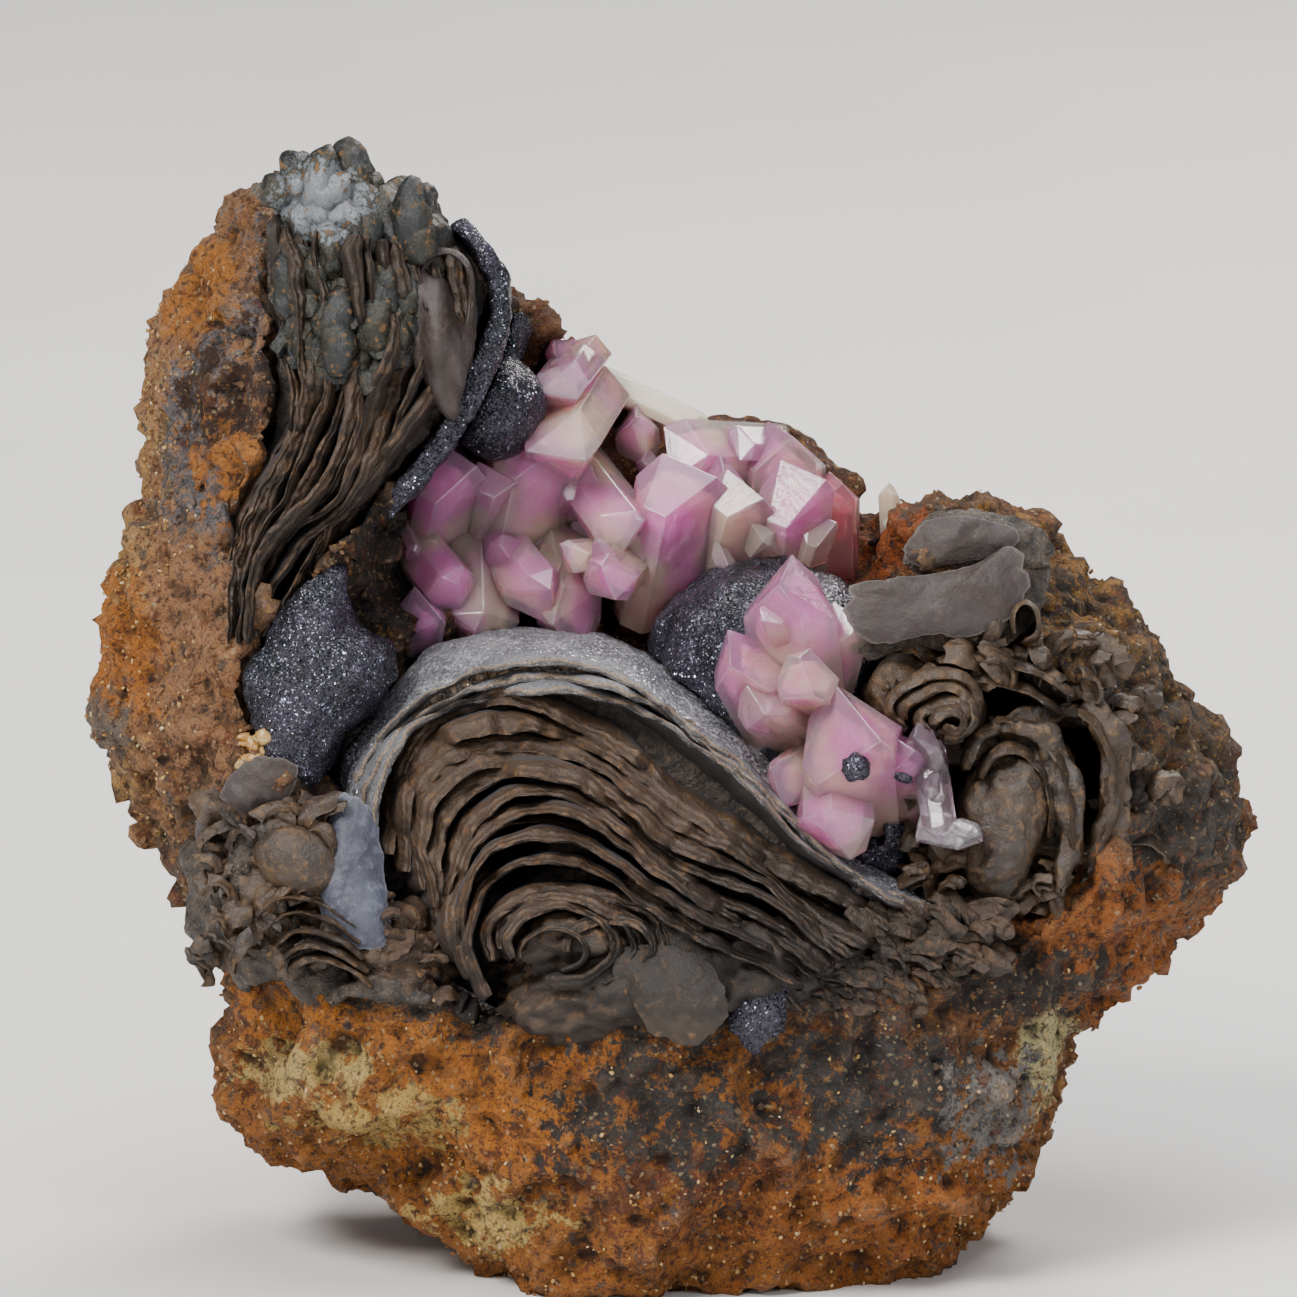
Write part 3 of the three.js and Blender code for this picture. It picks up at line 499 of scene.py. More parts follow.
def scatter(name, on, count, sizes, where, seed):
    """Small angular crumbs sunk into the faces of a piece, as one mesh. Where takes a place in the front view."""
    chance = np.random.default_rng(seed)
    centres, normals = read_mesh(on.data.polygons, "center"), read_mesh(on.data.polygons, "normal")
    wanted = where(*to_front(centres).T)
    picks = chance.choice(len(wanted), count, p=wanted / wanted.sum())
    bpy.ops.mesh.primitive_ico_sphere_add(subdivisions=1, radius=1)
    shape = bpy.context.object
    corners = np.array([v.co for v in shape.data.vertices])
    faces = np.array([f.vertices for f in shape.data.polygons])
    places, members = [], []
    for k, pick in enumerate(picks):
        size = chance.uniform(*sizes) / 1000
        knock = 1 + chance.uniform(-0.35, 0.35, len(corners))[:, None]
        spin = np.array(Euler(chance.uniform(0, 6.28, 3)).to_matrix())
        crumb = (corners * knock * size * np.array([1, chance.uniform(CRUMB_FLATNESS, 1), CRUMB_FLATNESS])) @ spin.T
        jitter = chance.uniform(-0.0003, 0.0003, 3)
        places.append(crumb + centres[pick] + normals[pick] * size * 0.15 + jitter)
        members.append(faces + k * len(corners))
    bpy.data.objects.remove(shape)
    made = bpy.data.meshes.new(name)
    made.from_pydata(np.vstack(places).tolist(), [], np.vstack(members).tolist())
    piece = bpy.data.objects.new(name, made)
    bpy.context.scene.collection.objects.link(piece)
    trim_foot(piece)
    return piece


# Crumbs of the rock's own rust all over it, and pale grains of quartz and carbonate along its broken edges
CRUMBS, GRAINS = 4200, 3000
crumbs = scatter("rusty_crumbs", rock, CRUMBS, (0.1, 0.5), lambda x, y, z: np.ones_like(x), 3)
finish_piece(crumbs, rusty_limonite, "limonite")


def edge_places(x, y, z):
    left = np.exp(-(((x + 53) / 5) ** 2)) * (z > 45)
    foot = 0.35 * np.exp(-(((z - 6) / 9) ** 2)) + 0.15 * (z < 30)
    right = 0.6 * np.exp(-(((x - 38) / 5) ** 2) - ((z - 21) / 7) ** 2)
    vein = 0.8 * np.exp(-(((z - 20 + 0.45 * (x + 33)) / 3.5) ** 2)) * (x < -18) * (y < 0)
    return left + foot + right + vein + 0.015


coat = pale_grain = Finish("pale_grain", 1.0)
fine = coat.clouds(3, 3)
coat.paint(coat.blend(coat.clouds(0.5, 4), 0.4, 0.6, "#c9a868", "#b98440"))
coat.lay(fine, 0.55, 0.7, "#efe6d0", 0.8)
coat.set("Roughness", fine, 0.3, 0.7, 0.2, 0.5)
coat.shader.inputs["Transmission Weight"].default_value = 0.3
finish_piece(scatter("pale_grains", rock, GRAINS, (0.08, 0.3), edge_places, 8), pale_grain, "limonite")

# ---------------------------------------------------------------------------------------------------------------
# Dome. A botryoid of goethite broken open like half an onion: thin hard leaves with brown broken edges and
# blue-grey satin backs, black gaps between them, a tangled heart, and an outer shell skinned with pale druse.


def smooth_path(points, count):
    """Places evenly spaced along a smooth curve through the given points."""
    ends = np.array([points[0], *points, points[-1]], float)
    t = np.linspace(0, 1, 24, endpoint=False)[:, None]
    fine = [
        0.5 * (2 * b + (c - a) * t + (2 * a - 5 * b + 4 * c - d) * t**2 + (3 * b - a - 3 * c + d) * t**3)
        for a, b, c, d in zip(ends, ends[1:], ends[2:], ends[3:])
    ]
    fine = np.vstack([*fine, ends[-1:]])
    far = np.concatenate([[0], np.cumsum(np.linalg.norm(np.diff(fine, axis=0), axis=1))])
    even = np.linspace(0, far[-1], count)
    return np.stack([np.interp(even, far, fine[:, k]) for k in range(fine.shape[1])], 1), far[-1]


# The section of a leaf from its back, over its outer side, down the broken front and back under it: how far
# forward each point lies (0 to 1), and how far across the thickness (1 outside to -1 inside)
LEAF_SECTION = [
    (0, 1), (0.35, 1), (0.58, 1), (0.72, 1), (0.81, 0.97), (0.87, 0.82), (0.92, 0.5), (0.95, 0.15), (0.975, -0.2),
    (1, -0.5), (0.99, -0.82), (0.93, -1), (0.8, -1), (0.5, -1), (0.25, -1), (0, -1), (0, 1),
]


def close_seams():
    edit_whole(
        lambda: bpy.ops.mesh.remove_doubles(threshold=2e-6),
        lambda: bpy.ops.mesh.normals_make_consistent(inside=False),
    )


def broken_leaf(path, thick, front, back, seed, wave=0.5, ragged=1.6, dip=0.0, middle=(0, 0), step=0.42, taper=0.0):
    """A thin leaf along a path seen from the front, from a ragged broken edge in front to its root behind."""
    length = smooth_path(path, 8)[1]
    stations = max(8, int(length / step))
    curve, _ = smooth_path(path, stations + 1)
    run = np.gradient(curve, axis=0)
    run /= np.linalg.norm(run, axis=1)[:, None]
    bpy.ops.mesh.primitive_grid_add(x_subdivisions=stations, y_subdivisions=len(LEAF_SECTION) - 1, size=1)
    piece = bpy.context.object
    mesh = piece.data
    through = mesh.attributes.new("through", "FLOAT", "POINT")
    for v in mesh.vertices:
        i = round((v.co.x + 0.5) * stations)
        forward, across = LEAF_SECTION[round((v.co.y + 0.5) * (len(LEAF_SECTION) - 1))]
        through.data[v.index].value = 0.5 - 0.5 * across
        far = i / stations * length
        end = min(i, stations - i)
        closing = 0 if end == 0 else min(1, 0.45 + 0.18 * end)
        forward = 0.5 if end == 0 else forward
        chip = ragged * noise.noise((far * 0.17, seed * 3.7, 0.5))
        chip += 0.5 * ragged * noise.noise((far * 0.6, seed * 5.1, 3.5))
        chip += 2.2 * ragged * max(0, noise.noise((far * 0.11, seed * 7.7, 9.5)) - 0.12)
        if forward > 0.9:
            chip += 0.35 * noise.noise((far * 1.4, across * 1.6, seed * 2.3))
        body = thick * (0.95 + 0.6 * noise.noise((far * 0.13, forward, seed * 1.9)))
        body *= 1 - taper * i / stations
        off = 0.5 * across * closing * max(body, 0.3 * thick)
        off += wave * noise.noise((far * 0.09, forward * 0.8, seed * 0.31))
        off += 0.22 * wave * noise.noise((far * 0.4, forward * 2.2, seed * 0.9))
        off += 0.07 * noise.noise((far * 1.5, forward * 7, seed + across))
        inward = 1 - dip * forward**3
        x = middle[0] + (curve[i, 0] - middle[0]) * inward - run[i, 1] * off
        z = middle[1] + (curve[i, 1] - middle[1]) * inward + run[i, 0] * off
        v.co = from_front(x, back + (front + chip - back) * forward, z)
    close_seams()
    bpy.ops.object.shade_smooth_by_angle(angle=math.radians(50))
    return piece


def join_all(pieces, name):
    bpy.ops.object.select_all(action="DESELECT")
    for piece in pieces:
        piece.select_set(True)
    bpy.context.view_layer.objects.active = pieces[0]
    if len(pieces) > 1:
        bpy.ops.object.join()
    pieces[0].name = name
    return pieces[0]


def between(outer, inner, share):
    return [(a[0] + (b[0] - a[0]) * share, a[1] + (b[1] - a[1]) * share) for a, b in zip(outer, inner)]


def cut_front(piece, y):
    """Takes away all that stands nearer the viewer than a depth."""
    normal = Matrix.Rotation(-LEAN, 3, "X") @ Vector((0, -1, 0))
    cut = {"plane_co": from_front(0, y, 0), "plane_no": normal, "use_fill": True, "clear_outer": True}
    edit_whole(lambda: bpy.ops.mesh.bisect(**cut))


def dress(cad_node, name, finish, slot, fineness, *layers, cut=None):
    """A copy of a CAD node with its skin broken up, and if wanted its front cut away, in the node's place."""
    piece = take_copy(cad_node, name)
    if cut is not None:
        cut_front(piece, cut)
    roughen(piece, fineness, *layers)
    finish_piece(piece, finish, slot, cad_node)


def lump(middle, radii, turn=0.0, uneven=0.1, seed=0, detail=5, size=3.0):
    """A rounded knob with an uneven skin."""
    bpy.ops.mesh.primitive_ico_sphere_add(subdivisions=detail, radius=1)
    piece = bpy.context.object
    tilt = Matrix.Rotation(-turn, 3, "Y")
    for v in piece.data.vertices:
        d = v.co.normalized()
        swell = 1 + uneven * noise.noise(d * 1.7 + Vector((seed, 0, 0)))
        reach = Vector((d.x * radii[0], d.y * radii[1], d.z * radii[2]))
        swell += 0.5 * uneven * noise.noise(reach / size * 2.2)
        p = tilt @ reach * swell
        v.co = from_front(middle[0] + p.x, middle[1] + p.y, middle[2] + p.z)
    bpy.ops.object.shade_smooth()
    return piece


def flake(middle, size, turn, curl, seed, thick=0.45):
    """A small curled scale with a chipped outline."""
    bpy.ops.mesh.primitive_grid_add(x_subdivisions=9, y_subdivisions=9, size=1)
    piece = bpy.context.object
    through = piece.data.attributes.new("through", "FLOAT", "POINT")
    turned = Euler(turn).to_matrix()
    for v in piece.data.vertices:
        through.data[v.index].value = 0.5
        a, b = v.co.x * 2, v.co.y * 2
        round_off = 1 / max(1, math.hypot(a, b) / max(abs(a), abs(b), 1e-6))
        reach = 0.5 * (1 + 0.35 * noise.noise((math.atan2(b, a) * 1.1, seed, 0.3)))
        p = Vector((a * round_off * reach * size[0], b * round_off * reach * size[1], 0))
        p.z = -curl * (a * a + 0.4 * b * b) + 0.5 * noise.noise((a * 1.6, b * 1.6, seed))
        p = turned @ p
        v.co = from_front(middle[0] + p.x, middle[1] + p.y, middle[2] + p.z)
    wall = piece.modifiers.new("wall", "SOLIDIFY")
    wall.thickness = thick / 1000
    wall.offset = 0
    apply_all(piece)
    bpy.ops.object.shade_smooth_by_angle(angle=math.radians(45))
    return piece


def random_flake(chance, middle, wide, high, lean, turn, twist, curl, thick, seed):
    """A flake drawn from ranges: sizes in mm, a lean about 60 degrees and a turn in degrees, a twist in radians."""
    return flake(
        middle,
        (chance.uniform(*wide), chance.uniform(*high)),
        (math.radians(60 + chance.uniform(-lean, lean)), math.radians(chance.uniform(*turn)),
         chance.uniform(-twist, twist)),
        chance.uniform(*curl),
        seed,
        thick=chance.uniform(*thick),
    )


DOME_MIDDLE = (-6, 42)  # mm right and up
DOME_LEAF_OUTER = [
    (-27.4, 43.5), (-27.2, 50.3), (-25, 55.2), (-20.8, 58.7), (-15.7, 60), (-10.4, 59), (-5.2, 55.6),
    (0.6, 50.8), (8, 46), (15.5, 41.2), (24, 36),
]
DOME_LEAF_INNER = [
    (-17, 29.5), (-18.8, 35.5), (-17.8, 40.3), (-15, 42.8), (-11, 43.5), (-7.5, 43), (-3.5, 41),
    (1, 38.8), (5.5, 36.6), (10, 33.8), (14.5, 30.5),
]
DOME_LEAVES = 9
DOME_FACE = -25

# Broken goethite: brown across the break with fine bands along it, blue-grey satin on the outer side of a leaf
coat = laminated_goethite = Finish("laminated_goethite", 1.5)
tree = coat.tree
broad = coat.clouds(0.2, 4)
middling = coat.clouds(0.9, 5, 0.6)
fine = coat.clouds(5, 4, 0.65)
waves = coat.weighed((coat.marked("through"), 16), (middling, 9))
bands = reckon(tree, "SINE", waves)
frontal, lifted = coat.frontal()
coat.paint(mixed(tree, broad, tint("#35281d"), tint("#4f3b2a")))
coat.lay(middling, 0.5, 0.75, "#70502f", 0.8)
coat.lay(bands, 0.3, 1, "#2a1f17", 0.45)
satin = mixed(tree, middling, tint("#50535a"), tint("#36363b"))
satin = mixed(tree, ramp(tree, broad, 0.45, 0.65, 0, 0.6), satin, tint("#6d5c52"))
coat.paint(mixed(tree, ramp(tree, frontal, 0.05, 0.4), satin, coat.colour))
# Painted shade on the undersides: darker where the skin faces down
coat.lay(lifted, 0.05, -0.45, "#241c17", 0.85)
coat.lay(fine, 0.5, 0.3, "#1f1813", 0.5)
# Painted shade: darker towards the dome's lower right and deep in the column
for middle, reach in [
    ((12, -26, 37), (18, 20, 9)), ((2, -30, 33), (22, 20, 5)), ((-41, -20, 64), (6, 20, 8)),
    ((-31, -22, 101), (14, 20, 9)), ((1, -34, 30), (8, 20, 6)),
]:
    coat.paint_light_and_shade(coat.patch(middle, reach, middling), "#15110e", 0.55)
coat.set("Roughness", fine, 0.3, 0.7, 0.42, 0.62)
coat.bump(0.6, 0.0005, (bands, 0.25), (middling, 1), (fine, 0.5))

# The black that fills the gaps behind the leaves
coat = dark_goethite = Finish("dark_goethite", 2.0)
middling = coat.clouds(0.8, 6, 0.65)
fine = coat.clouds(3.5, 4)
coat.paint(coat.blend(middling, 0.35, 0.65, "#1d1714", "#4a3f35"))
coat.lay(middling, 0.6, 0.72, "#7a6349", 0.7)
coat.lay(fine, 0.55, 0.7, "#6e6f72", 0.4)
coat.set("Roughness", fine, 0.3, 0.7, 0.45, 0.7)
coat.bump(0.8, 0.0008, (middling, 1), (fine, 0.4))

dress(
    "laminated_dome", "dome_backing", dark_goethite, "laminated_goethite", 0.8,
    ("CLOUDS", 3, 1.2, 0.7), ("CLOUDS", 1.2, 0.7, 0.5), cut=DOME_FACE + 3,
)

DOME_RIM = [
    (-28.6, 43.5), (-28.4, 49.5), (-26.4, 54.4), (-22, 58.4), (-15.6, 61.3), (-9.4, 61.2), (-3.6, 59),
    (3, 55), (9.6, 49), (17, 42.6), (27.5, 37.2),
]
LEAF_MIDDLE = (-8, 36)  # mm, what the leaves nest round
leaves = []
for k in range(DOME_LEAVES):
    # The leaves nest down to the heart, each a little further forward
    share = (k + 0.5 * noise.noise((k * 1.7, 4.2, 0))) / (DOME_LEAVES - 1)
    path = between(DOME_LEAF_OUTER, DOME_LEAF_INNER, share)
    face = DOME_FACE - 1.8 - 7.5 * share
    shared = {"back": DOME_FACE + 4.5, "dip": 0.045, "middle": LEAF_MIDDLE}
    leaves.append(
        broken_leaf(path, 1.7 - 0.45 * share, face, seed=k + 3, wave=1.5, ragged=2.4, taper=0.3, **shared)
    )
    # A thinner leaf shows deeper in some of the gaps
    if k % 3 == 0:
        thin = between(path, [LEAF_MIDDLE] * len(path), 0.055)
        leaves.append(broken_leaf(thin, 0.4, face + 2.9, seed=k + 30, wave=1.2, ragged=2.0, **shared))
# Thin wavy layers at the foot of the outer shell
layers = [
    broken_leaf(
        between(DOME_RIM, [DOME_MIDDLE] * len(DOME_RIM), 0.02 - 0.045 * k), 0.9, DOME_FACE - 2.6 + 0.9 * k,
        DOME_FACE + 4.5, seed=40 + k, wave=1.5, ragged=1.8,
    )
    for k in range(3)
]
finish_piece(join_all(leaves, "dome_leaves"), laminated_goethite, "laminated_goethite")

# The heart: uneven lumps, a swirl of small leaves round an eye, and a tangle of scales on the right
heart = [
    lump((-3.5, -24.5, 33), (14.5, 9, 7), turn=0.28, uneven=0.25, seed=3),
    lump((-8.5, -30, 35.6), (6, 4, 3.2), turn=0.1, uneven=0.3, seed=5),
    lump((8, -26, 32), (8, 6, 5), turn=0.5, uneven=0.35, seed=7),
]
for k in range(5):
    size = 1 - 0.16 * k
    swirl = [
        (-8.5 + 1.1 * k * math.cos(k * 2.1) + 8.6 * size * math.cos(a), 35.4 - 0.3 * k + 5.2 * size * math.sin(a))
        for a in np.linspace(math.radians(205 - 14 * (k % 2)), math.radians(-40 - 35 * (k % 3)), 9)
    ]
    heart.append(broken_leaf(swirl, 1.5 - 0.1 * k, -33.4 - 0.5 * k, -27, seed=60 + k, wave=1.3, ragged=1.7, step=0.35))
chance = random.Random(11)
for k in range(110):
    a, b = chance.random(), chance.uniform(-1, 1)
    z = 36.5 - 6 * a + (4.4 - 2.2 * a) * b
    spot = (-2 + 26 * a, -31.5 + 4 * a + 1.5 * abs(b) + chance.uniform(-0.8, 0.8), z)
    heart.append(random_flake(chance, spot, (3, 7), (1.6, 3), 35, (5, 45), 0.5, (0.2, 0.9), (0.15, 0.35), k))
for k in range(70):
    a = chance.random()
    spot = (-35 + 13 * a + chance.uniform(-2, 2), -25 - 4 * chance.random(), 41 - 9 * a + chance.uniform(-3, 3))
    heart.append(random_flake(chance, spot, (2, 5), (1.4, 3), 45, (-50, 40), 0.6, (0.3, 1.2), (0.15, 0.4), k + 150))
heart.append(lump((-25.5, -22.5, 34), (6, 6, 5), turn=0.4, uneven=0.3, seed=12))
heart.append(lump((29, -22, 35.5), (5, 4.5, 3.4), turn=0.4, uneven=0.3, seed=14))
for k in range(60):
    spot = (chance.uniform(20, 34), -26.5 + chance.uniform(-1.5, 1.5), 36 + chance.uniform(-4, 2.5))
    heart.append(random_flake(chance, spot, (2.4, 5.5), (1.4, 2.8), 45, (0, 50), 0.4, (0.3, 1.0), (0.15, 0.4), k + 250))
finish_piece(join_all(heart, "dome_heart"), laminated_goethite, "laminated_goethite")

# Pale sparkling druse over grey goethite; where the shell is broken off it shows thin brown and grey bands
coat = pale_druse = Finish("pale_druse", 1.2)
sparkle, slant = coat.facets(4.5, 1.2)
coat.paint(coat.blend(coat.clouds(0.18, 4), 0.35, 0.65, "#62636a", "#86868b"))
coat.lay(coat.clouds(3, 4), 0.5, 0.35, "#55565e", 0.6)
# Painted glints: near-white on some grains
coat.lay(sparkle, 0.8, 0.95, "#e6e7ec", 0.8)
broken = coat.blend(coat.clouds(0.9, 4), 0.4, 0.6, "#403c39", "#77604a")
square = ramp(coat.tree, coat.frontal()[0], 0.86, 0.97)
coat.paint(mixed(coat.tree, square, coat.colour, broken))
coat.set("Roughness", sparkle, 0.3, 0.9, 0.5, 0.25)
coat.set("Metallic", sparkle, 0.5, 0.9, 0.1, 0.5)
plug(coat.tree, coat.shader.inputs["Normal"], slant)

# Hard grey and tan bands where the shell is broken off
coat = banded_edge = Finish("banded_edge", 1.2)
fine = coat.clouds(4, 4)
bands = coat.weighed((coat.marked("through"), 1), (coat.clouds(0.5, 5), 1.2))
coat.paint(coat.blend(bands, 0.75, 0.95, "#6b6b70", "#7c6a58"))
coat.lay(bands, 1.05, 1.2, "#403d3d")
coat.lay(fine, 0.5, 0.34, "#2b2827", 0.6)
coat.lay(fine, 0.58, 0.7, "#9c9a9b", 0.5)
coat.set("Roughness", fine, 0.3, 0.7, 0.4, 0.6)
coat.bump(0.5, 0.0004, (fine, 1))
finish_piece(join_all(layers, "shell_layers"), banded_edge, "pale_druse")
shell_skin = [("CLOUDS", 6, 0.9, 0.5), ("CLOUDS", 1.4, 0.4, 0.5)]
dress("dome_druse_shell", "dome_shell", pale_druse, "pale_druse", 0.5, *shell_skin)

# ---------------------------------------------------------------------------------------------------------------
# Column. Leaves of the same goethite seen on edge down the left side, pinched above the left hollow, with grey
# knobs at the head, a smooth lens, and a rim of violet-grey druse along its right side.

COLUMN_LEFT = [
    (-37.8, 106.5), (-38, 100), (-36.8, 94.5), (-36, 89.5), (-37.2, 85), (-40, 80), (-42.6, 75.5), (-44.2, 69),
    (-43.6, 64),
]
COLUMN_RIGHT = [
    (-20.4, 104), (-19.4, 97.5), (-20.2, 93), (-22.4, 88.5), (-25.2, 84.5), (-28.8, 80), (-33, 75.5),
    (-35.6, 69), (-38, 65),
]
COLUMN_LEAVES = 12
COLUMN_FACE = -22

dress(
    "laminated_column", "column_backing", dark_goethite, "laminated_goethite", 0.6,
    ("CLOUDS", 3, 1.2, 0.7), ("CLOUDS", 1.2, 0.7, 0.5), cut=COLUMN_FACE + 3,
)

leaves = []
for k in range(COLUMN_LEAVES):
    share = k / (COLUMN_LEAVES - 1)
    face = COLUMN_FACE - 2.6 * math.sin(math.pi * share) - 1.3 * (k % 2)
    leaves.append(
        broken_leaf(
            between(COLUMN_LEFT, COLUMN_RIGHT, share), 1.1 + 0.5 * (k % 3), face, COLUMN_FACE + 4.5, seed=80 + k,
            wave=2.0, ragged=2.2, taper=0.5,
        )
    )
finish_piece(join_all(leaves, "column_leaves"), laminated_goethite, "laminated_goethite")

HEAD_KNOBS = [
    # middle, radii, turn, unevenness
    ((-33.2, -19, 108.4), (5.2, 4.8, 3.5), 0.3, 0.5),
    ((-31, -20.5, 102), (3.9, 4.3, 5.4), -0.3, 0.5),
    ((-25.4, -20, 105.4), (4.4, 4.5, 4.8), 0.5, 0.5),
    ((-30.6, -22, 95.6), (3.5, 3.4, 4.3), 0.0, 0.45),
    ((-35.4, -20.5, 98.5), (1.8, 3, 5), 0.1, 0.45),
    ((-26.2, -21.5, 97.5), (1.7, 3, 4.4), -0.1, 0.45),
]
knobs = [lump(m, r, turn=t, uneven=u * 0.6, seed=k + 1, size=5) for k, (m, r, t, u) in enumerate(HEAD_KNOBS)]
chance = random.Random(5)
for k in range(90):
    m, r, *_ = chance.choice(HEAD_KNOBS)
    d = Vector((chance.uniform(-1, 1), -chance.uniform(0.2, 1), chance.uniform(-1, 1))).normalized()
    small = chance.uniform(0.6, 2.1)
    knobs.append(
        lump((m[0] + d.x * r[0], m[1] + d.y * r[1], m[2] + d.z * r[2]),
             (small, small, small * chance.uniform(1, 1.9)), turn=chance.uniform(-0.6, 0.6), uneven=0.22, seed=k,
             detail=3, size=6)
    )
for k in range(36):
    m, r, *_ = chance.choice(HEAD_KNOBS[3:])
    d = Vector((chance.uniform(-1, 1), -chance.uniform(0.2, 0.9), chance.uniform(-1, 1))).normalized()
    knobs.append(
        flake(
            (m[0] + d.x * r[0], m[1] + d.y * r[1] * 1.1, m[2] + d.z * r[2]),
            (chance.uniform(2, 4), chance.uniform(3, 8)),
            (chance.uniform(1.1, 2.0), chance.uniform(-0.8, 0.8), chance.uniform(-0.4, 0.4)),
            chance.uniform(0.4, 1.2),
            k + 300,
        )
    )

# Goethite knobs: dark grey-green and glossy, silvery on the left, with brown crusts
coat = glossy_goethite = Finish("glossy_goethite", 2.0)
broad = coat.clouds(0.3, 4)
middling = coat.clouds(1.2, 6, 0.65)
coat.paint(coat.blend(broad, 0.4, 0.6, "#1f2223", "#2f2e26"))
coat.cover(coat.patch((-33.6, -20, 108.4), (4.6, 20, 3.8), middling), "#72777c")
coat.lay(middling, 0.57, 0.66, "#7b5a36", 0.85)
coat.lay(middling, 0.42, 0.34, "#15140f", 0.7)
coat.set("Roughness", middling, 0.5, 0.64, 0.27, 0.75)
coat.set("Metallic", broad, 0.4, 0.6, 0.1, 0.35)
coat.bump(0.5, 0.0006, (middling, 1), (coat.clouds(6, 3), 0.3))
finish_piece(join_all(knobs, "column_head"), glossy_goethite, "laminated_goethite")


def satin_skin(name, cool, warm, cloud, edge):
    """Smooth unbroken goethite with a satin sheen, a faint grain and a paler thin rim."""
    satin = Finish(name, 1.5)
    middling = satin.clouds(1.1, 5, 0.6)
    fine = satin.clouds(7, 3)
    satin.paint(satin.blend(satin.clouds(0.25, 4), 0.35, 0.65, cool, warm))
    satin.lay(middling, 0.5, 0.7, cloud, 0.6)
    satin.lay(fine, 0.45, 0.3, "#2b2424", 0.4)
    satin.lay(satin.marked("rim"), 0.6, 0.95, edge, 0.4)
    satin.set("Roughness", middling, 0.3, 0.7, 0.42, 0.6)
    satin.bump(0.5, 0.0005, (middling, 1), (fine, 0.3))
    return satin


satin_goethite = satin_skin("satin_goethite", "#383031", "#322822", "#4b3f38", "#6f6663")
blue_grey_goethite = satin_skin("blue_grey_goethite", "#4d505d", "#3d3f4a", "#6b6f7e", "#7c7e88")

lens = [
    lump((-22.2, -20.5, 95.4), (3.3, 5, 7.4), turn=0.22, uneven=0.25, seed=8, size=8),
    broken_leaf(
        [(-24.6, 99.5), (-22.5, 103.2), (-19.2, 102.4), (-18.6, 98), (-20, 92), (-22.6, 88)],
        0.8, -24.4, -18, seed=120, wave=0.3, ragged=1.0,
    ),
]
finish_piece(join_all(lens, "column_lens"), satin_goethite, "goethite_plate")

coat = dark_druse = Finish("dark_druse", 1.0)
sparkle, slant = coat.facets(6.5, 1.1)
coat.paint(coat.blend(coat.clouds(0.22, 4), 0.38, 0.62, "#212229", "#3a3743"))
coat.lay(coat.clouds(2.5, 4), 0.5, 0.35, "#15161b", 0.6)
# Painted glints: pale blue-grey on a few grains
coat.lay(sparkle, 0.92, 0.98, "#9aa0ba", 0.5)
coat.set("Roughness", sparkle, 0.3, 0.9, 0.4, 0.18)
coat.set("Metallic", sparkle, 0.4, 0.9, 0.2, 0.7)
plug(coat.tree, coat.shader.inputs["Normal"], slant)

rim_skin = [("CLOUDS", 3, 1.2, 0.5), ("CLOUDS", 1.0, 0.5, 0.5)]
dress("column_druse_rim", "column_rim", dark_druse, "pale_druse", 0.4, *rim_skin)

# ---------------------------------------------------------------------------------------------------------------
# Dark druse. Rounded goethite with a near-black skin of tiny crystals: a ball by the pocket, a wavy sheet in
# the left of the bay, the mound under the front crystals, and a small blue-black patch under the dome.

DRUSE_BODIES = [
    # CAD node, piece, broad and fine unevenness in mm
    ("upper_druse_ball", "druse_ball", 0.8, 0.35),
    ("left_druse_sheet", "druse_sheet", 1.8, 0.4),
    ("druse_mound", "black_mound", 1.4, 0.4),
    ("lower_druse_patch", "blue_patch", 1.2, 0.5),
]
for cad_node, name, waves, skin in DRUSE_BODIES:
    dress(cad_node, name, dark_druse, "dark_druse", 0.45, ("CLOUDS", 4, waves, 0.5), ("CLOUDS", 1.2, skin, 0.5))

# ---------------------------------------------------------------------------------------------------------------
# Petals and plate. Smooth curved shells that have come away from the goethite: two mauve-grey petals above the
# right hollow, and a brown plate in the heart of the dome.


def shell_plate(name, outline, middle, bulge, tilt, thick, seed):
    """A thin curved shell seen from the front: a domed skin inside an outline, with a chipped rim."""
    rings, steps = 16, 72
    path = smooth_path([*outline, outline[0]], steps + 1)[0]
    bpy.ops.mesh.primitive_grid_add(x_subdivisions=steps, y_subdivisions=rings, size=1)
    piece = bpy.context.object
    rim = piece.data.attributes.new("rim", "FLOAT", "POINT")
    for v in piece.data.vertices:
        i = round((v.co.x + 0.5) * steps) % steps
        share = round((v.co.y + 0.5) * rings) / rings
        chip = 1 + (0.09 * noise.noise((path[i][0] * 0.7, path[i][1] * 0.7, seed))
                    + 0.04 * noise.noise((path[i][0] * 2.3, path[i][1] * 2.3, seed))) * share
        x = middle[0] + (path[i][0] - middle[0]) * share * chip
        z = middle[2] + (path[i][1] - middle[2]) * share * chip
        swell = 0.7 * noise.noise((x * 0.22, z * 0.22, seed)) + 0.25 * noise.noise((x * 0.7, z * 0.7, seed))
        y = middle[1] - bulge * (1 - share**2.2) + tilt * (z - middle[2]) + swell
        rim.data[v.index].value = max(0, (share - 0.86) / 0.14)
        v.co = from_front(x, y, z)
    close_seams()
    wall = piece.modifiers.new("wall", "SOLIDIFY")
    wall.thickness = thick / 1000
    wall.offset = -1
    apply_all(piece)
    bpy.ops.object.shade_smooth_by_angle(angle=math.radians(40))
    piece.name = name
    return piece


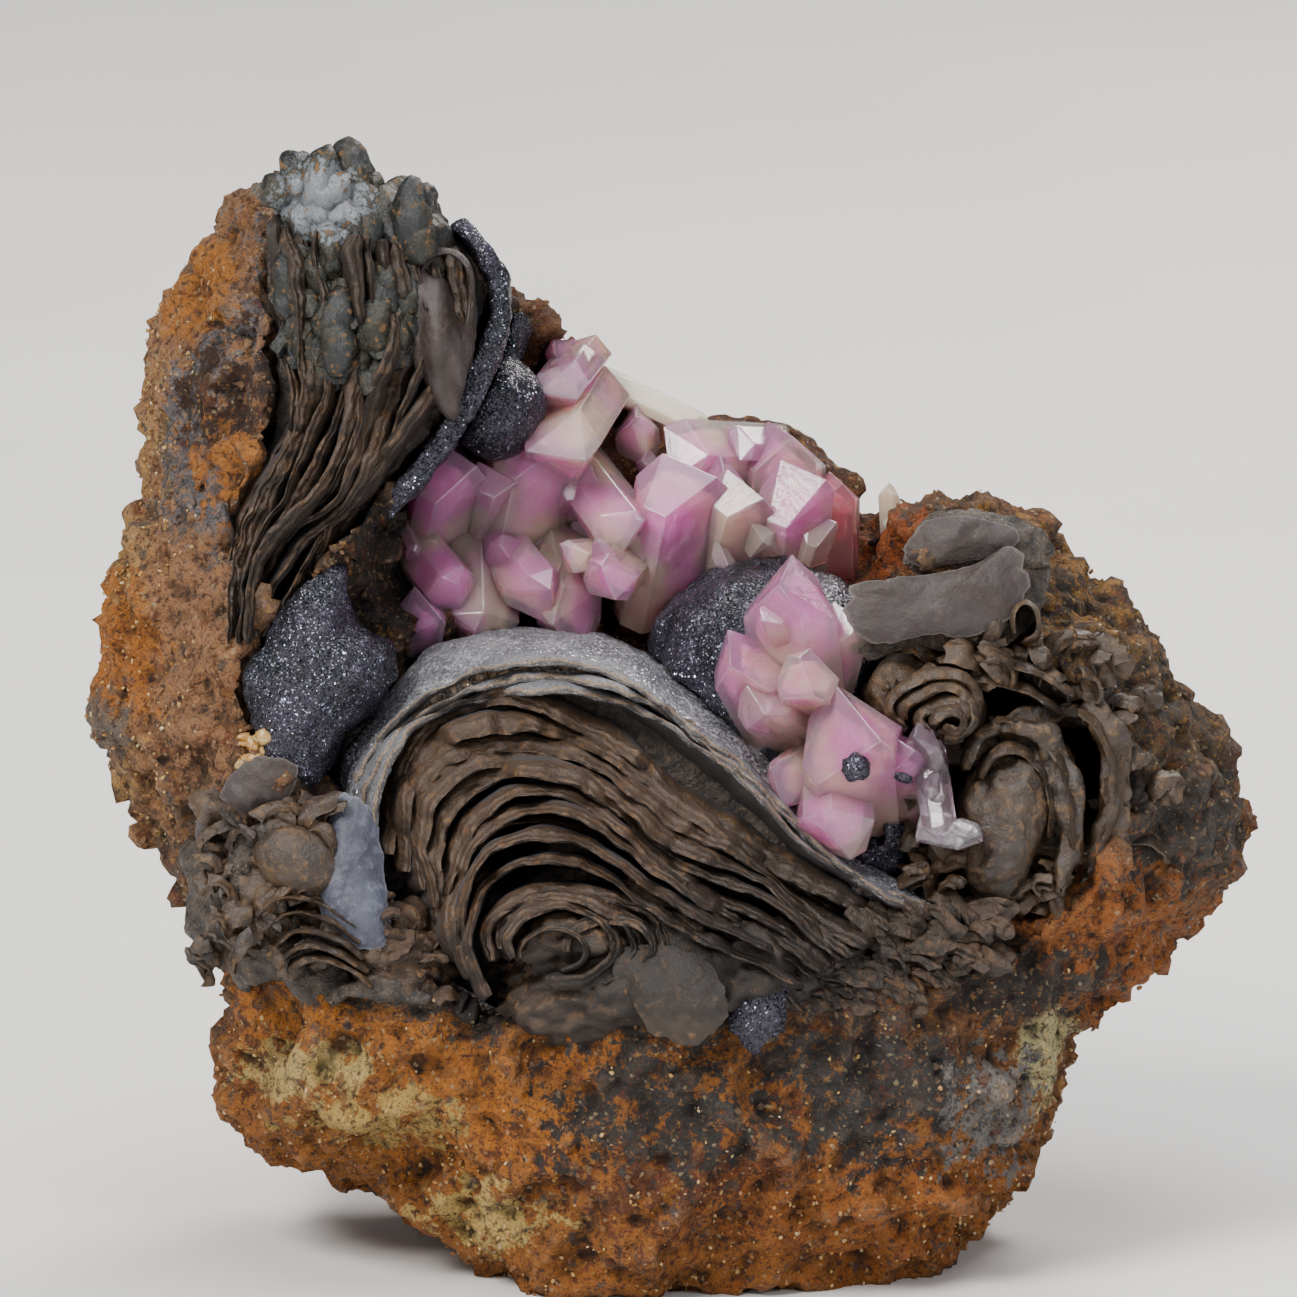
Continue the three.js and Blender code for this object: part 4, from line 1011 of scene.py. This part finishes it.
SMALL_PETAL = [
    (24, 73.2), (24.6, 75.2), (27, 77), (30.6, 77.2), (34.4, 76.2), (35.6, 75.2), (33.6, 73.6), (29.6, 72.6),
    (26, 72.2),
]
BROAD_PETAL = [
    (18.2, 68), (19.4, 70.4), (23, 71.2), (27.4, 71.6), (31.4, 72.6), (34.6, 74.4), (36, 73), (36.2, 69.8),
    (34.2, 66.8), (30.4, 65.4), (26, 65.4), (22.6, 64.6), (19.4, 65.4),
]
HEART_PLATE = [
    (-4.8, 33.8), (-1, 35), (3.6, 34), (6.2, 31), (6, 27.4), (3.4, 25.4), (-0.6, 26.2), (-2.6, 29), (-4.4, 31),
]
for name, cad_node, outline, middle, bulge, tilt in [
    ("small_petal", "upper_petal", SMALL_PETAL, (29.8, -21.4, 74.8), 1.0, 0.12),
    ("broad_petal", "large_petal", BROAD_PETAL, (28.4, -23.6, 69.2), 1.2, 0.1),
    ("heart_plate", "lower_plate", HEART_PLATE, (0.8, -34, 30.4), 1.2, 0.1),
]:
    plate = shell_plate(name, outline, middle, bulge, tilt, 0.7, len(outline))
    finish_piece(plate, laminated_goethite if name == "heart_plate" else satin_goethite, "goethite_plate", cad_node)
# What the petals have come away from: darker shells under them
UNDER_PETALS = [
    [(18, 66.4), (20, 69), (26, 71), (32, 71), (37.6, 73), (38.4, 69.4), (35.6, 65.4), (30, 63.6), (25, 64.2),
     (21, 63), (18.6, 64)],
    [(24, 72.4), (25.4, 76.4), (29, 78), (34, 77.4), (38.2, 75.6), (38.6, 72.6), (33, 71.4), (27, 71.2)],
]
under = [
    shell_plate(f"under_{k}", outline, (28 + 2 * k, -20.6 + 1.6 * k, 67.4 + 7 * k), 1.6, 0.3, 1.1, 20 + k)
    for k, outline in enumerate(UNDER_PETALS)
]
under_petals = join_all(under, "under_petals")
finish_piece(under_petals, dark_goethite, "goethite_plate")

# ---------------------------------------------------------------------------------------------------------------
# Curls. Rolled leaves of brown goethite, like dried mud, round the hollow on the right and at the dome's left
# foot; each has a silky skin and a chipped edge.

coat = silky_goethite = Finish("silky_goethite", 1.5)
middling = coat.clouds(1.0, 5, 0.6)
fine = coat.clouds(6, 4)
coat.paint(coat.blend(coat.clouds(0.22, 4), 0.35, 0.65, "#453525", "#2f261f"))
for mask, low, high, code, most in [
    (middling, 0.5, 0.7, "#6e5336", 0.7),
    (middling, 0.45, 0.3, "#4b4446", 0.6),
    (fine, 0.45, 0.3, "#2a211b", 0.6),
    # painted shade: near-black in the hollows
    (coat.hollows(), 0.48, 0.4, "#17110d", 0.8),
]:
    coat.lay(mask, low, high, code, most)
coat.set("Roughness", middling, 0.3, 0.7, 0.4, 0.56)
coat.bump(0.5, 0.0006, (middling, 1), (fine, 0.35))

for cad_node, name, finish, skin in [
    ("hollow_curl_left", "curl_left", silky_goethite, 0.9),
    ("hollow_curl_main", "curl_main", silky_goethite, 0.9),
    ("hollow_curl_right", "curl_right", silky_goethite, 0.9),
    ("left_curls", "curls_at_foot", dark_goethite, 1.0),
]:
    dress(cad_node, name, finish, "laminated_goethite", 0.5, ("CLOUDS", 4.5, 2.6, 0.55), ("CLOUDS", 1.6, skin, 0.5))

mauve_shells = join_all(
    [
        shell_plate(
            "mauve_shell",
            [(-43.6, 49), (-42, 52.2), (-38.6, 53.6), (-36, 52.4), (-36.6, 49.4), (-39.4, 47.4), (-42.6, 46.6)],
            (-39.8, -26.5, 50), 0.8, -0.25, 0.5, 31,
        ),
        shell_plate(
            "left_shell",
            [(-46, 45.6), (-45.4, 49.6), (-42.6, 50.4), (-41, 47), (-42, 43), (-44.6, 42)],
            (-43.4, -22, 46.4), 1.0, 0.2, 0.5, 33,
        ),
    ],
    "mauve_shells",
)
finish_piece(mauve_shells, satin_goethite, "goethite_plate")
button = join_all(
    [
        lump((-35.6, -28, 43.2), (4.6, 2.4, 3.3), turn=-0.35, uneven=0.08, seed=9, size=8),
        lump((-40.4, -25, 41), (3.2, 3, 4), turn=0.3, uneven=0.2, seed=10, size=6),
        *[
            broken_leaf(
                [(-40 + 0.8 * k, 37.4 - 1.3 * k), (-37.6 + 0.8 * k, 39.2 - 1.35 * k), (-33.4 + 0.6 * k, 38.6 - 1.4 * k),
                 (-29.6 + 0.4 * k, 36.4 - 1.4 * k)],
                0.8, -29.6 - 0.4 * k, -22, seed=190 + k, wave=0.8, ragged=1.2,
            )
            for k in range(5)
        ],
    ],
    "left_button",
)
finish_piece(button, silky_goethite, "laminated_goethite")
blue_skin = shell_plate(
    "blue_skin",
    [(-33, 46), (-31.4, 50), (-28.2, 48), (-27.2, 42), (-26.8, 36), (-29.4, 34.4), (-32.6, 37), (-34.4, 40.6)],
    (-31, -27.6, 41.4), 2.2, 0.15, 0.6, 35,
)
finish_piece(blue_skin, blue_grey_goethite, "goethite_plate")
chance = random.Random(41)
chalk = join_all(
    [
        lump((-39.6 + chance.uniform(-1.6, 1.6), -26 + chance.uniform(-1, 1), 54.2 + chance.uniform(-1.6, 1.6)),
             (chance.uniform(0.4, 1), 0.6, chance.uniform(0.4, 0.9)), uneven=0.5, seed=k, detail=2, size=2)
        for k in range(22)
    ],
    "chalky_bit",
)
finish_piece(chalk, pale_grain, "limonite")

# Small scales all over the dome's left foot
chance = random.Random(57)
scales = []
for seed in range(600, 680):
    spot = (chance.uniform(-45, -31), -26.4 + chance.uniform(-2.5, 1.5), chance.uniform(33, 49))
    scales.append(random_flake(chance, spot, (2.4, 6), (1.6, 3.4), 50, (-60, 60), 0.8, (0.4, 1.4), (0.15, 0.4), seed))
finish_piece(join_all(scales, "foot_scales"), silky_goethite, "laminated_goethite")

# Scales, a small swirl and folded leaves round the right hollow, and a little box-like curl above it
chance = random.Random(23)
scales = []
for k in range(120):
    a = chance.uniform(0, 2 * math.pi)
    reach = chance.uniform(0.8, 1.2)
    x, z = 35.5 + 12.5 * reach * math.cos(a), 52 + 12.5 * reach * math.sin(a)
    if x < 24 and z < 54:
        continue
    spot = (x, -22.5 + 0.35 * max(0, x - 36) + chance.uniform(-2, 3), z)
    scales.append(random_flake(chance, spot, (2, 5.5), (1.4, 3.4), 45, (-60, 60), 1, (0.3, 1.3), (0.15, 0.4), k + 400))
for k in range(4):
    size = 1 - 0.22 * k
    swirl = [
        (27.2 + 0.5 * k + 4.6 * size * math.cos(a), 58.2 - 0.5 * k + 3.4 * size * math.sin(a) * (1 + 0.3 * math.cos(a)))
        for a in np.linspace(math.radians(235 - 30 * (k % 2)), math.radians(-60 - 30 * k), 9)
    ]
    scales.append(broken_leaf(swirl, 1.3, -26.4 - 0.4 * k, -20, seed=160 + k, wave=1.3, ragged=1.6, step=0.35))
HOLLOW_LEAVES = [
    [(29.6, 52), (31, 55.6), (34.6, 56.6), (38.4, 54.6), (40.8, 49.6), (40.6, 44)],
    [(31.4, 51), (33, 54), (36, 54), (38.2, 50.4), (38.6, 45)],
    [(41, 58), (43.6, 56), (45, 51.6), (44.6, 46.4), (43, 42)],
    [(27, 62.8), (32, 63.8), (37, 62.4), (41.4, 59.6)],
    [(28, 61), (32.4, 61.8), (36.6, 60.4), (40, 57.6)],
]
for k, path in enumerate(HOLLOW_LEAVES):
    folded = {"wave": 0.9, "ragged": 1.8, "dip": 0.03, "middle": (36, 50)}
    scales.append(broken_leaf(path, 0.9, -26.2 + 0.7 * k, -16, seed=170 + k, **folded))
little_box = [(35, 65.2), (34.8, 67.6), (36, 68.8), (37.2, 67.8), (37.2, 65.6), (35.6, 64.8)]
scales.append(broken_leaf(little_box, 0.7, -25, -18, seed=181, wave=0.2, ragged=0.8))
finish_piece(join_all(scales, "hollow_scales"), silky_goethite, "laminated_goethite")

# ---------------------------------------------------------------------------------------------------------------
# Crystals. Manganese-bearing adamite: glassy rhombic prisms ended by a roof of two faces, see-through, pink at
# the tips and edges and cream inside, grown in a crust on the pocket's wall and on the black mound.


def crystal(tip, root, wide, deep, roll=0.0, seed=0):
    """One blocky prism with blunted corners, ended by a gable of two faces."""
    start, end = Vector(root), Vector(tip)
    axis = end - start
    length = axis.length
    bpy.ops.mesh.primitive_cylinder_add(vertices=10, radius=1, depth=2)
    piece = bpy.context.object
    tipwards = piece.data.attributes.new("tipwards", "FLOAT", "POINT")
    grown = piece.data.attributes.new("grown", "FLOAT_VECTOR", "POINT")
    batch = piece.data.attributes.new("batch", "FLOAT", "POINT")
    chance = random.Random(seed)
    paleness = chance.random()
    a, b = wide / 2, deep / 2
    gable = min(0.46 * wide, 0.6 * length) * chance.uniform(0.6, 1.2)
    ridge = chance.uniform(-0.3, 0.3) * a
    hip = chance.uniform(0.7, 0.97)
    ring = [(a, 0.3 * b), (0.4 * a, b), (-0.4 * a, b), (-a, 0.3 * b),
            (-a, -0.3 * b), (-0.4 * a, -b), (0.4 * a, -b), (a, -0.3 * b)]
    turned = axis.to_track_quat("Z", "Y").to_matrix() @ Matrix.Rotation(math.radians(roll), 3, "Z")
    for v in piece.data.vertices:
        k = round(math.degrees(math.atan2(v.co.y, v.co.x)) / 36) % 10
        if v.co.z < 0:
            p = Vector((*ring[k], 0)) if k < 8 else Vector((0, 0, 0.2 * length))
        elif k < 8:
            x, y = ring[k]
            p = Vector((x, y, length - gable * (abs(x - ridge) / a + 0.25 * abs(y) / b)))
        else:
            p = Vector((ridge, (hip if k == 8 else -hip) * b, length))
        tipwards.data[v.index].value = p.z / length
        grown.data[v.index].vector = p + Vector((seed * 3, 0, 0))
        batch.data[v.index].value = paleness
        v.co = from_front(*(turned @ p + start))
    edit_whole(lambda: bpy.ops.mesh.convex_hull(join_triangles=True))
    return piece


POCKET_CRYSTALS = [
    # tip, root, width across, depth, roll
    ((-10.2, -10, 89.4), (-7.5, 2, 93), 5.4, 5, 80),
    ((-10.4, -13, 82.6), (-7, 2, 88.5), 8.4, 7.4, 80),
    ((-19.5, -10, 84.3), (-22.5, 1, 72), 9, 7, 40),
    ((-12, -8, 86.5), (-16, 1, 69), 9, 8, 35),
    ((-19.6, -11, 69), (-26.5, 0, 77.5), 5.6, 5.6, 30),
    ((-23.4, -12, 68.6), (-25, -1, 60), 4.6, 4.6, 30),
    ((-10.8, -11, 68.2), (-18, 0, 77), 6.2, 5.6, 20),
    ((-18, -9, 64.5), (-18.5, 0, 78), 7.4, 6.4, 20),
    ((-8.4, -10, 65.5), (-10.6, 0, 76), 6.6, 6, 45),
    ((-2.6, -10, 74.2), (-9, 1, 82.5), 7, 6, -20),
    ((-6.4, -7, 81), (-12, 2, 76), 5, 4.6, 10),
    ((-12.4, -4, 73), (-7, 3, 78), 4.4, 4, 0),
    ((-5.4, -15, 70.6), (-2.6, 0, 74), 5.2, 4.8, 20),
    ((-9.4, -12, 73), (-3, -3, 73.6), 3.4, 3.4, 30),
    ((-2.6, 0, 88), (-1, 4, 77), 4.2, 4, 20),
    ((2.6, -9, 82.2), (-0.4, -1, 67.6), 9, 8, 40),
    ((8.6, -9, 80.6), (5.6, 0, 69.5), 5.6, 6, 30),
    ((13.8, -9, 81.6), (12.6, 0, 68.5), 6.2, 6.6, 50),
    ((12.4, -2, 86.2), (12.8, 3, 72), 7.4, 7, 30),
    ((0.6, -3, 83.6), (12.5, 3, 83), 5.6, 6.4, 20),
    ((6, -6, 82), (7, 2, 76), 4, 3.6, 15),
]
FRONT_CRYSTALS = [
    ((12.6, -25, 72), (14, -19, 60), 8.8, 8, 0),
    ((18.4, -23, 67.6), (16, -17, 59), 5.2, 5, 30),
    ((7.8, -26, 64.6), (12.6, -18, 56), 7.6, 7, 25),
    ((9.4, -27, 59.6), (14.6, -17, 55.6), 6, 5.4, 40),
    ((14.6, -30.5, 61.4), (14.4, -16, 58), 5.6, 5.4, 20),
    ((18.6, -31, 57.6), (19.6, -18, 48), 9.4, 8.6, 35),
    ((23.2, -28, 55.4), (23, -17, 47.5), 6.4, 6, 50),
    ((17.2, -27, 44.6), (17.4, -18, 54), 7.4, 6.4, 30),
    ((12, -25, 50.4), (16.5, -16, 54), 5, 4.6, 10),
]
BROKEN_BLADES = [
    ((27.8, -28, 45.2), (26.4, -24, 54.8), 3.2, 2.4, 30),
    ((31.8, -27.4, 45.4), (25.6, -26, 46.6), 3, 2.4, 60),
    ((25.6, -29, 56.2), (27.4, -24, 51.4), 3, 2.6, 0),
]
RIM_CRYSTAL = [((17.7, -2, 81.3), (17.5, 3, 69.5), 4.2, 4.2, 20)]
SMALL_RIM_CRYSTALS = [
    ((22.9, 2, 80.6), (23.4, 5, 71), 2, 2, 0),
    ((24, 1.6, 78.8), (24.2, 5, 71), 3.2, 3, 25),
]
PALE_BLADES = [
    ((4.6, 1, 85.6), (-8, 6, 91.8), 3, 3.2, 10),
    ((-5.2, 2, 91.6), (-7.6, 7, 86), 3.6, 3.6, 30),
]
UPPER_LEFT_CRYSTALS = [
    ((-13.2, -2, 97), (-10, 5, 93), 3.2, 3, 0),
    ((-12, -1, 98.6), (-11, 5, 93), 2.6, 2.6, 30),
    ((-10, -4, 94), (-9, 5, 92), 3, 2.6, 10),
]


def crystal_glass(name, edge_colour, inside_colour, deep_colour, clear=0.5, milky=0.75):
    """Glassy adamite: coloured at the tip and in clouds, paler inside, with veils, cracks and growth lines."""
    glass = Finish(name, 1.0)
    tree = glass.tree
    broad = glass.clouds(0.17, 3)
    veils = glass.clouds(0.7, 5, 0.75)
    along, highlit_edges = glass.marked("tipwards"), glass.marked("highlit_edges")
    grown = node(tree, "Attribute", {"attribute_name": "grown"}).outputs["Vector"]
    lines = glass.clouds(1.0, 4, place=reckon_vector(tree, "MULTIPLY", grown, (3.2, 3.2, 0.12)))
    cracks = node(tree, "TexVoronoi", {"feature": "DISTANCE_TO_EDGE"}, Vector=glass.place, Scale=0.3)
    if clear < 0.2:  # a heart's remeshed faces have no attributes, so its colours go by place alone
        glass.paint(glass.blend(broad, 0.42, 0.58, inside_colour, edge_colour))
    else:
        tinted = glass.weighed((broad, 1), (along, 0.45), (glass.marked("batch"), 0.3))
        glass.paint(glass.blend(tinted, 0.75, 1.15, inside_colour, edge_colour))
        glass.lay(along, 0.35, 0.1, deep_colour)
    glass.lay(veils, 0.4, 0.28, deep_colour, 0.7)
    glass.lay(veils, 0.54, 0.68, "#fff6f2", 0.5)
    glass.lay(cracks.outputs["Distance"], 0.02, 0.0, "#ffffff", 0.15)
    # Painted highlights: the bevelled edges painted paler
    glass.paint_light_and_shade(highlit_edges, "#ffffff", 0.22)
    glossy = ramp(tree, veils, 0.48, 0.68, 0.03, 0.16)
    plug(tree, glass.shader.inputs["Roughness"], glass.weighed((glossy, 1), (highlit_edges, 0.08)))
    for socket, value in [
        ("IOR", 1.65), ("Transmission Weight", clear), ("Subsurface Weight", milky),
        ("Subsurface Radius", (1.0, 0.55, 0.8)), ("Subsurface Scale", 0.003),
    ]:
        glass.shader.inputs[socket].default_value = value
    glass.bump(0.3, 0.0005, (veils, 0.6), (lines, 0.5))
    return glass


pink_adamite = crystal_glass("pink_adamite", "#ffb9e8", "#ffeade", "#f9d2c7", 0.8, 0.4)
pink_heart = crystal_glass("pink_heart", "#f691d1", "#ffd0b4", "#e9a893", 0.1, 0.8)
coral_adamite = crystal_glass("coral_adamite", "#ffb3c6", "#ffdad2", "#f7a8b3", 0.8, 0.4)
coral_heart = crystal_glass("coral_heart", "#f5839c", "#fbb3a2", "#e67c8a", 0.1, 0.8)
cream_adamite = crystal_glass("cream_adamite", "#fbe0c6", "#fdf2df", "#efd2ab", 0.5, 0.6)
cream_heart = crystal_glass("cream_heart", "#f6d3b4", "#fbeed6", "#e6bf90", 0.05, 0.9)
clear_adamite = crystal_glass("clear_adamite", "#f3dfec", "#f4f1f6", "#cbbcc6", 0.93, 0.1)


def grow(crystals, name, material, heart, slot, cad_node, beside):
    """A cluster: every crystal, cloudy inside, with a few smaller ones grown from its foot."""
    grown, hearts = [], []
    for k, (tip, root, wide, deep, roll) in enumerate(crystals):
        grown.append(crystal(tip, root, wide * 1.08, deep * 1.08, roll, seed=k))
        inner = Vector(tip) + (Vector(root) - Vector(tip)).normalized() * 0.22 * wide
        hearts.append(crystal(inner, root, wide * 0.72, deep * 0.72, roll, seed=k))
        chance = random.Random(k * 7 + len(crystals))
        for _ in range(beside):
            axis = Vector(tip) - Vector(root)
            start = Vector(root) + axis * chance.uniform(0.15, 0.45)
            start += Vector([chance.uniform(-0.35, 0.35) * wide for _ in range(3)])
            lean = Vector([chance.uniform(-0.5, 0.5), chance.uniform(-0.6, 0), chance.uniform(-0.5, 0.5)])
            end = start + (axis.normalized() + lean).normalized() * axis.length * chance.uniform(0.3, 0.5)
            grown.append(
                crystal(end, start, wide * chance.uniform(0.4, 0.7), deep * chance.uniform(0.4, 0.7),
                        roll + chance.uniform(-40, 40), seed=k + 50)
            )
    piece = join_all(grown, name)
    edge = piece.modifiers.new("highlit_edges", "BEVEL")
    edge.width = 0.0001
    edge.segments = 1
    edge.limit_method = "ANGLE"
    apply_all(piece)
    # Marks the narrow bevel faces, which the glass paints as highlit edges
    highlit_edges = piece.data.attributes.new("highlit_edges", "FLOAT", "FACE")
    for face in piece.data.polygons:
        corners = [piece.data.vertices[i].co for i in face.vertices]
        longest = max((a - b).length for a, b in zip(corners, corners[1:] + corners[:1]))
        highlit_edges.data[face.index].value = 1.0 if face.area < 0.00025 * longest else 0.0
    finish_piece(piece, material, slot, cad_node)
    if heart is None:
        for body in hearts:
            bpy.data.objects.remove(body)
        return
    cloudy = join_all(hearts, f"{name}_heart")
    roughen(cloudy, 0.3, ("CLOUDS", 2.2, 1.3, 0.6), ("CLOUDS", 0.8, 0.5, 0.5))
    finish_piece(cloudy, heart, slot)


grow(POCKET_CRYSTALS, "pocket_crystals", pink_adamite, pink_heart, "adamite", "pocket_adamite", 2)
grow(FRONT_CRYSTALS, "front_crystals", pink_adamite, pink_heart, "adamite", "front_adamite", 1)
grow(RIM_CRYSTAL, "coral_crystal", coral_adamite, coral_heart, "adamite", "rim_crystal", 1)
grow(UPPER_LEFT_CRYSTALS, "upper_left_crystals", pink_adamite, pink_heart, "adamite", "upper_left_adamite", 2)
grow(BROKEN_BLADES, "clear_blades", clear_adamite, None, "pale_adamite", "broken_blades", 2)
grow(SMALL_RIM_CRYSTALS, "small_crystals", cream_adamite, cream_heart, "pale_adamite", "small_rim_crystals", 1)
grow(PALE_BLADES, "cream_blade", cream_adamite, cream_heart, "pale_adamite", "pale_blade", 0)

# Two dark metallic bits caught in the front cluster
bits = join_all(
    [
        lump((19.2, -31, 52.5), (1.5, 1.2, 1.4), uneven=0.3, seed=3, detail=3, size=1.5),
        lump((24, -29.5, 51.4), (1.0, 0.8, 0.5), turn=-0.3, uneven=0.3, seed=6, detail=3, size=1.2),
    ],
    "dark_bits",
)
finish_piece(bits, dark_druse, "adamite")

# The rusty crust that the pocket's crystals grew from
crust = lump((-4, 4.4, 77), (22.5, 4.6, 10), turn=0.18, uneven=0.15, seed=2, detail=5)
crust.name = "pocket_crust"
roughen(crust, 0.7, ("CLOUDS", 4, 2.0, 0.5), ("CLOUDS", 1.3, 1.0, 0.5))
finish_piece(crust, rusty_limonite, "limonite")
